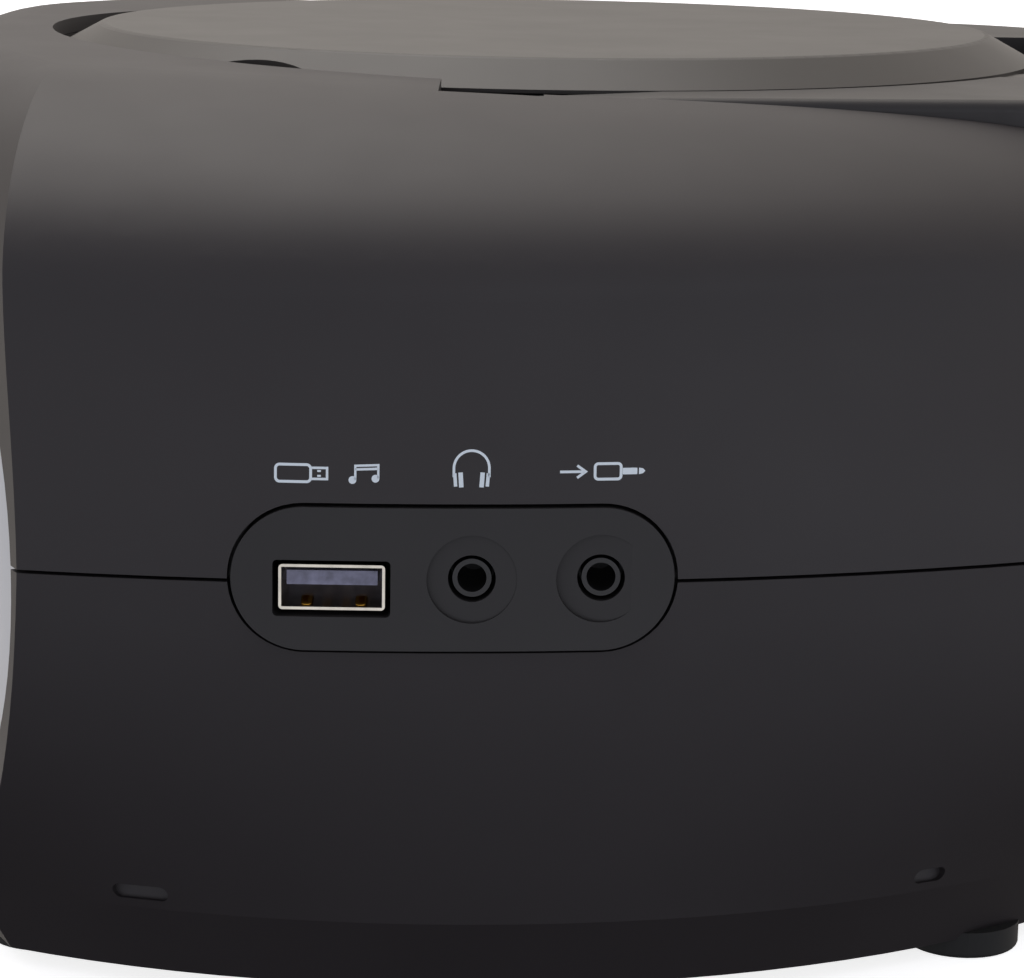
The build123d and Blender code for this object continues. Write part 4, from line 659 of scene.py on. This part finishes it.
# Scale behind the window
scalePrint = {
    "on": "dial_scale",
    "from": "front",
    "at": (0, 66.2),
    "body": "housing",
    "ink": "whiteInk",
    "pitch": 1.2,
}
scale = []
for step in range(41):
    x = scalePrint["pitch"] * (step - 20)
    scale.append(bar(x - 0.09, 0.2, x + 0.09, 1.5 if step % 8 == 0 else 0.9, 0.02))
    scale.append(bar(x - 0.09, -1.5 if step % 8 == 4 else -0.9, x + 0.09, -0.2, 0.02))
printOn("scalePrint", scale, scalePrint)

scaleFigures = {
    "size": 2.9,
    "front": -99.63,
    "rows": ((68.2, -24.0, (88, 92, 96, 100, 104, 108)), (62.2, -19.2, (53, 60, 80, 110, 160))),
}
for row, (z, x, values) in enumerate(scaleFigures["rows"]):
    for index, value in enumerate(values):
        name = f"scaleFigure{row}{index}"
        curve = bpy.data.curves.new(name, "FONT")
        curve.body = str(value)
        curve.size = scaleFigures["size"] / 1000
        curve.align_x = "CENTER"
        curve.extrude = 0.00002
        curve.materials.append(finishes["whiteInk"])
        piece = bpy.data.objects.new(name, curve)
        piece.location = ((x + 9.6 * index) / 1000, scaleFigures["front"] / 1000, z / 1000)
        piece.rotation_euler = (math.radians(90), 0, 0)
        scene.collection.objects.link(piece)
        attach(piece, "housing")

# Figures of the display, a track and a time
displayPrint = {
    "on": "display_module",
    "from": "front",
    "at": (0, 83),
    "body": "housing",
    "ink": "darkInk",
    "line": 0.75,
}
digitSize = {"wide": 3.3, "high": 6.8, "lean": 0.12}
segments = {
    "top": ((0.1, 1), (0.9, 1)),
    "middle": ((0.1, 0), (0.9, 0)),
    "low": ((0.1, -1), (0.9, -1)),
    "leftHigh": ((0, 0.1), (0, 0.9)),
    "leftLow": ((0, -0.9), (0, -0.1)),
    "rightHigh": ((1, 0.1), (1, 0.9)),
    "rightLow": ((1, -0.9), (1, -0.1)),
}
unlit = {
    "0": ("middle",),
    "1": ("top", "middle", "low", "leftHigh", "leftLow"),
    "2": ("leftHigh", "rightLow"),
    "4": ("top", "low", "leftLow"),
}
digits = []
for digit, x in (("0", -20.0), ("1", -14.6), ("0", -4.6), ("2", 0.8), ("1", 8.2), ("4", 13.6)):
    for name, ends in segments.items():
        if name in unlit[digit]:
            continue
        half = digitSize["high"] / 2
        lean = digitSize["lean"] * half
        path = [(x + digitSize["wide"] * across + lean * up, half * up) for across, up in ends]
        digits += stroke(path, displayPrint["line"])
digits += [bar(6.1, -2.0, 7.0, -1.1, 0.1), bar(6.5, 1.1, 7.4, 2.0, 0.1)]
printOn("displayPrint", digits, displayPrint)
print("display made")

# Springs in the lower half of the rectangular socket, as steps in and up from its mouth, in mm
socketSprings = {
    "places": {"Front": -25.9, "Rear": -19.2},
    "half": 0.75,
    "sheet": 0.2,
    "path": ((1.0, 0.41), (1.8, 0.76), (3.0, 1.26), (4.8, 0.76), (7.0, 0.46)),
}
shellLow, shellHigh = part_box("usb_socket_shell")
for mark, y in socketSprings["places"].items():
    build = bmesh.new()
    rows = []
    for inward, up in socketSprings["path"]:
        x, z = shellHigh.x - inward / 1000, shellLow.z + up / 1000
        rows.append([build.verts.new((x, (y + way * socketSprings["half"]) / 1000, z)) for way in (-1, 1)])
    for first, second in zip(rows, rows[1:]):
        build.faces.new((first[0], first[1], second[1], second[0]))
    mesh = bpy.data.meshes.new("socketSpring" + mark)
    build.to_mesh(mesh)
    build.free()
    spring = bpy.data.objects.new("socketSpring" + mark, mesh)
    scene.collection.objects.link(spring)
    sheet = spring.modifiers.new("sheet", "SOLIDIFY")
    sheet.thickness = socketSprings["sheet"] / 1000
    rounding = spring.modifiers.new("rounding", "SUBSURF")
    rounding.levels = rounding.render_levels = 2
    mesh.materials.append(finishes["goldFlash"])
    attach(spring, "housing")
print("socket springs made")

# Floor: pale paper that takes the set's shadow but throws no light back up at it
studioFloor = {"half": 6.0, "glow": 0.8}
floorMesh = bpy.data.meshes.new("studioFloor")
ways = ((-1, -1), (1, -1), (1, 1), (-1, 1))
corners = [(x * studioFloor["half"], y * studioFloor["half"], 0) for x, y in ways]
floorMesh.from_pydata(corners, [], [(0, 1, 2, 3)])
floor = bpy.data.objects.new("studioFloor", floorMesh)
scene.collection.objects.link(floor)
paper = finishes["mattPaper"]
paperShader = paper.node_tree.nodes["Principled BSDF"]
paperShader.inputs["Emission Color"].default_value = (1, 1, 1, 1)
paperShader.inputs["Emission Strength"].default_value = studioFloor["glow"]
floorMesh.materials.append(paper)
floor.visible_diffuse = floor.visible_glossy = False

# Light: a broad soft one overhead and behind, a weak cool one from the rear right, a low one by the camera
lights = {
    "overhead": {
        "place": (-0.32, -0.25, 1.1),
        "aim": (0.02, 0, 0.08),
        "size": (1.1, 1.1),
        "power": 7.4,
        "tint": "fffbf7",
    },
    "rightFill": {
        "place": (1.1, 0.8, 0.3),
        "aim": (0.1, 0, 0.06),
        "size": (0.6, 0.4),
        "power": 0.8,
        "tint": "f3f9ff",
    },
    "lowFront": {
        "place": (1.3, 0.1, 0.12),
        "aim": (0.1, 0, 0.05),
        "size": (1.0, 0.2),
        "power": 0.4,
        "tint": "fbf9ff",
    },
}
for name, spec in lights.items():
    data = bpy.data.lights.new(name, "AREA")
    data.shape = "RECTANGLE"
    data.size, data.size_y = spec["size"]
    data.energy = spec["power"]
    data.color = linear(spec["tint"])[:3]
    light = bpy.data.objects.new(name, data)
    light.location = spec["place"]
    light.rotation_euler = (Vector(spec["aim"]) - Vector(spec["place"])).to_track_quat("-Z", "Y").to_euler()
    scene.collection.objects.link(light)

# Room: brightness by height, warmer and stronger beyond the set, white where the camera sees it
room = {
    "heights": ((0.22, 0.02), (0.32, 0.85), (0.37, 0.9), (0.43, 0.5), (0.8, 0.45)),
    "behind": (1.7, 1.58, 1.46, 1),
    "before": (1.1, 1.12, 1.22, 1),
    "turn": (0.35, 0.65),
}
world = bpy.data.worlds.new("studio")
world.use_nodes = True
sky = world.node_tree
split = addNode(sky, "SeparateXYZ", {}, {"Vector": addNode(sky, "TexCoord").outputs["Generated"]})
height = addNode(sky, "MapRange", {}, {"Value": split.outputs["Z"], "From Min": -1.0})
depth = addNode(sky, "MapRange", {}, {"Value": split.outputs["X"], "From Min": -1.0})
shade = addNode(sky, "ValToRGB", {}, {"Fac": height.outputs["Result"]})
for place, grey in room["heights"]:
    shade.color_ramp.elements.new(place).color = (grey, grey, grey, 1)
shade.color_ramp.elements.remove(shade.color_ramp.elements[0])
shade.color_ramp.elements.remove(shade.color_ramp.elements[-1])
tint = addNode(sky, "ValToRGB", {}, {"Fac": depth.outputs["Result"]})
for stop, where, word in zip(tint.color_ramp.elements, room["turn"], ("behind", "before")):
    stop.position = where
    stop.color = room[word]
colours = {"Fac": 1.0, "Color1": shade.outputs["Color"], "Color2": tint.outputs["Color"]}
tinted = addNode(sky, "MixRGB", {"blend_type": "MULTIPLY"}, colours)
seen = addNode(sky, "LightPath").outputs["Is Camera Ray"]
mixed = addNode(sky, "MixRGB", {}, {"Fac": seen, "Color1": tinted.outputs["Color"], "Color2": (1, 1, 1, 1)})
sky.links.new(mixed.outputs["Color"], sky.nodes["Background"].inputs["Color"])
scene.world = world
scene.view_settings.view_transform = "Standard"
print("lights set")
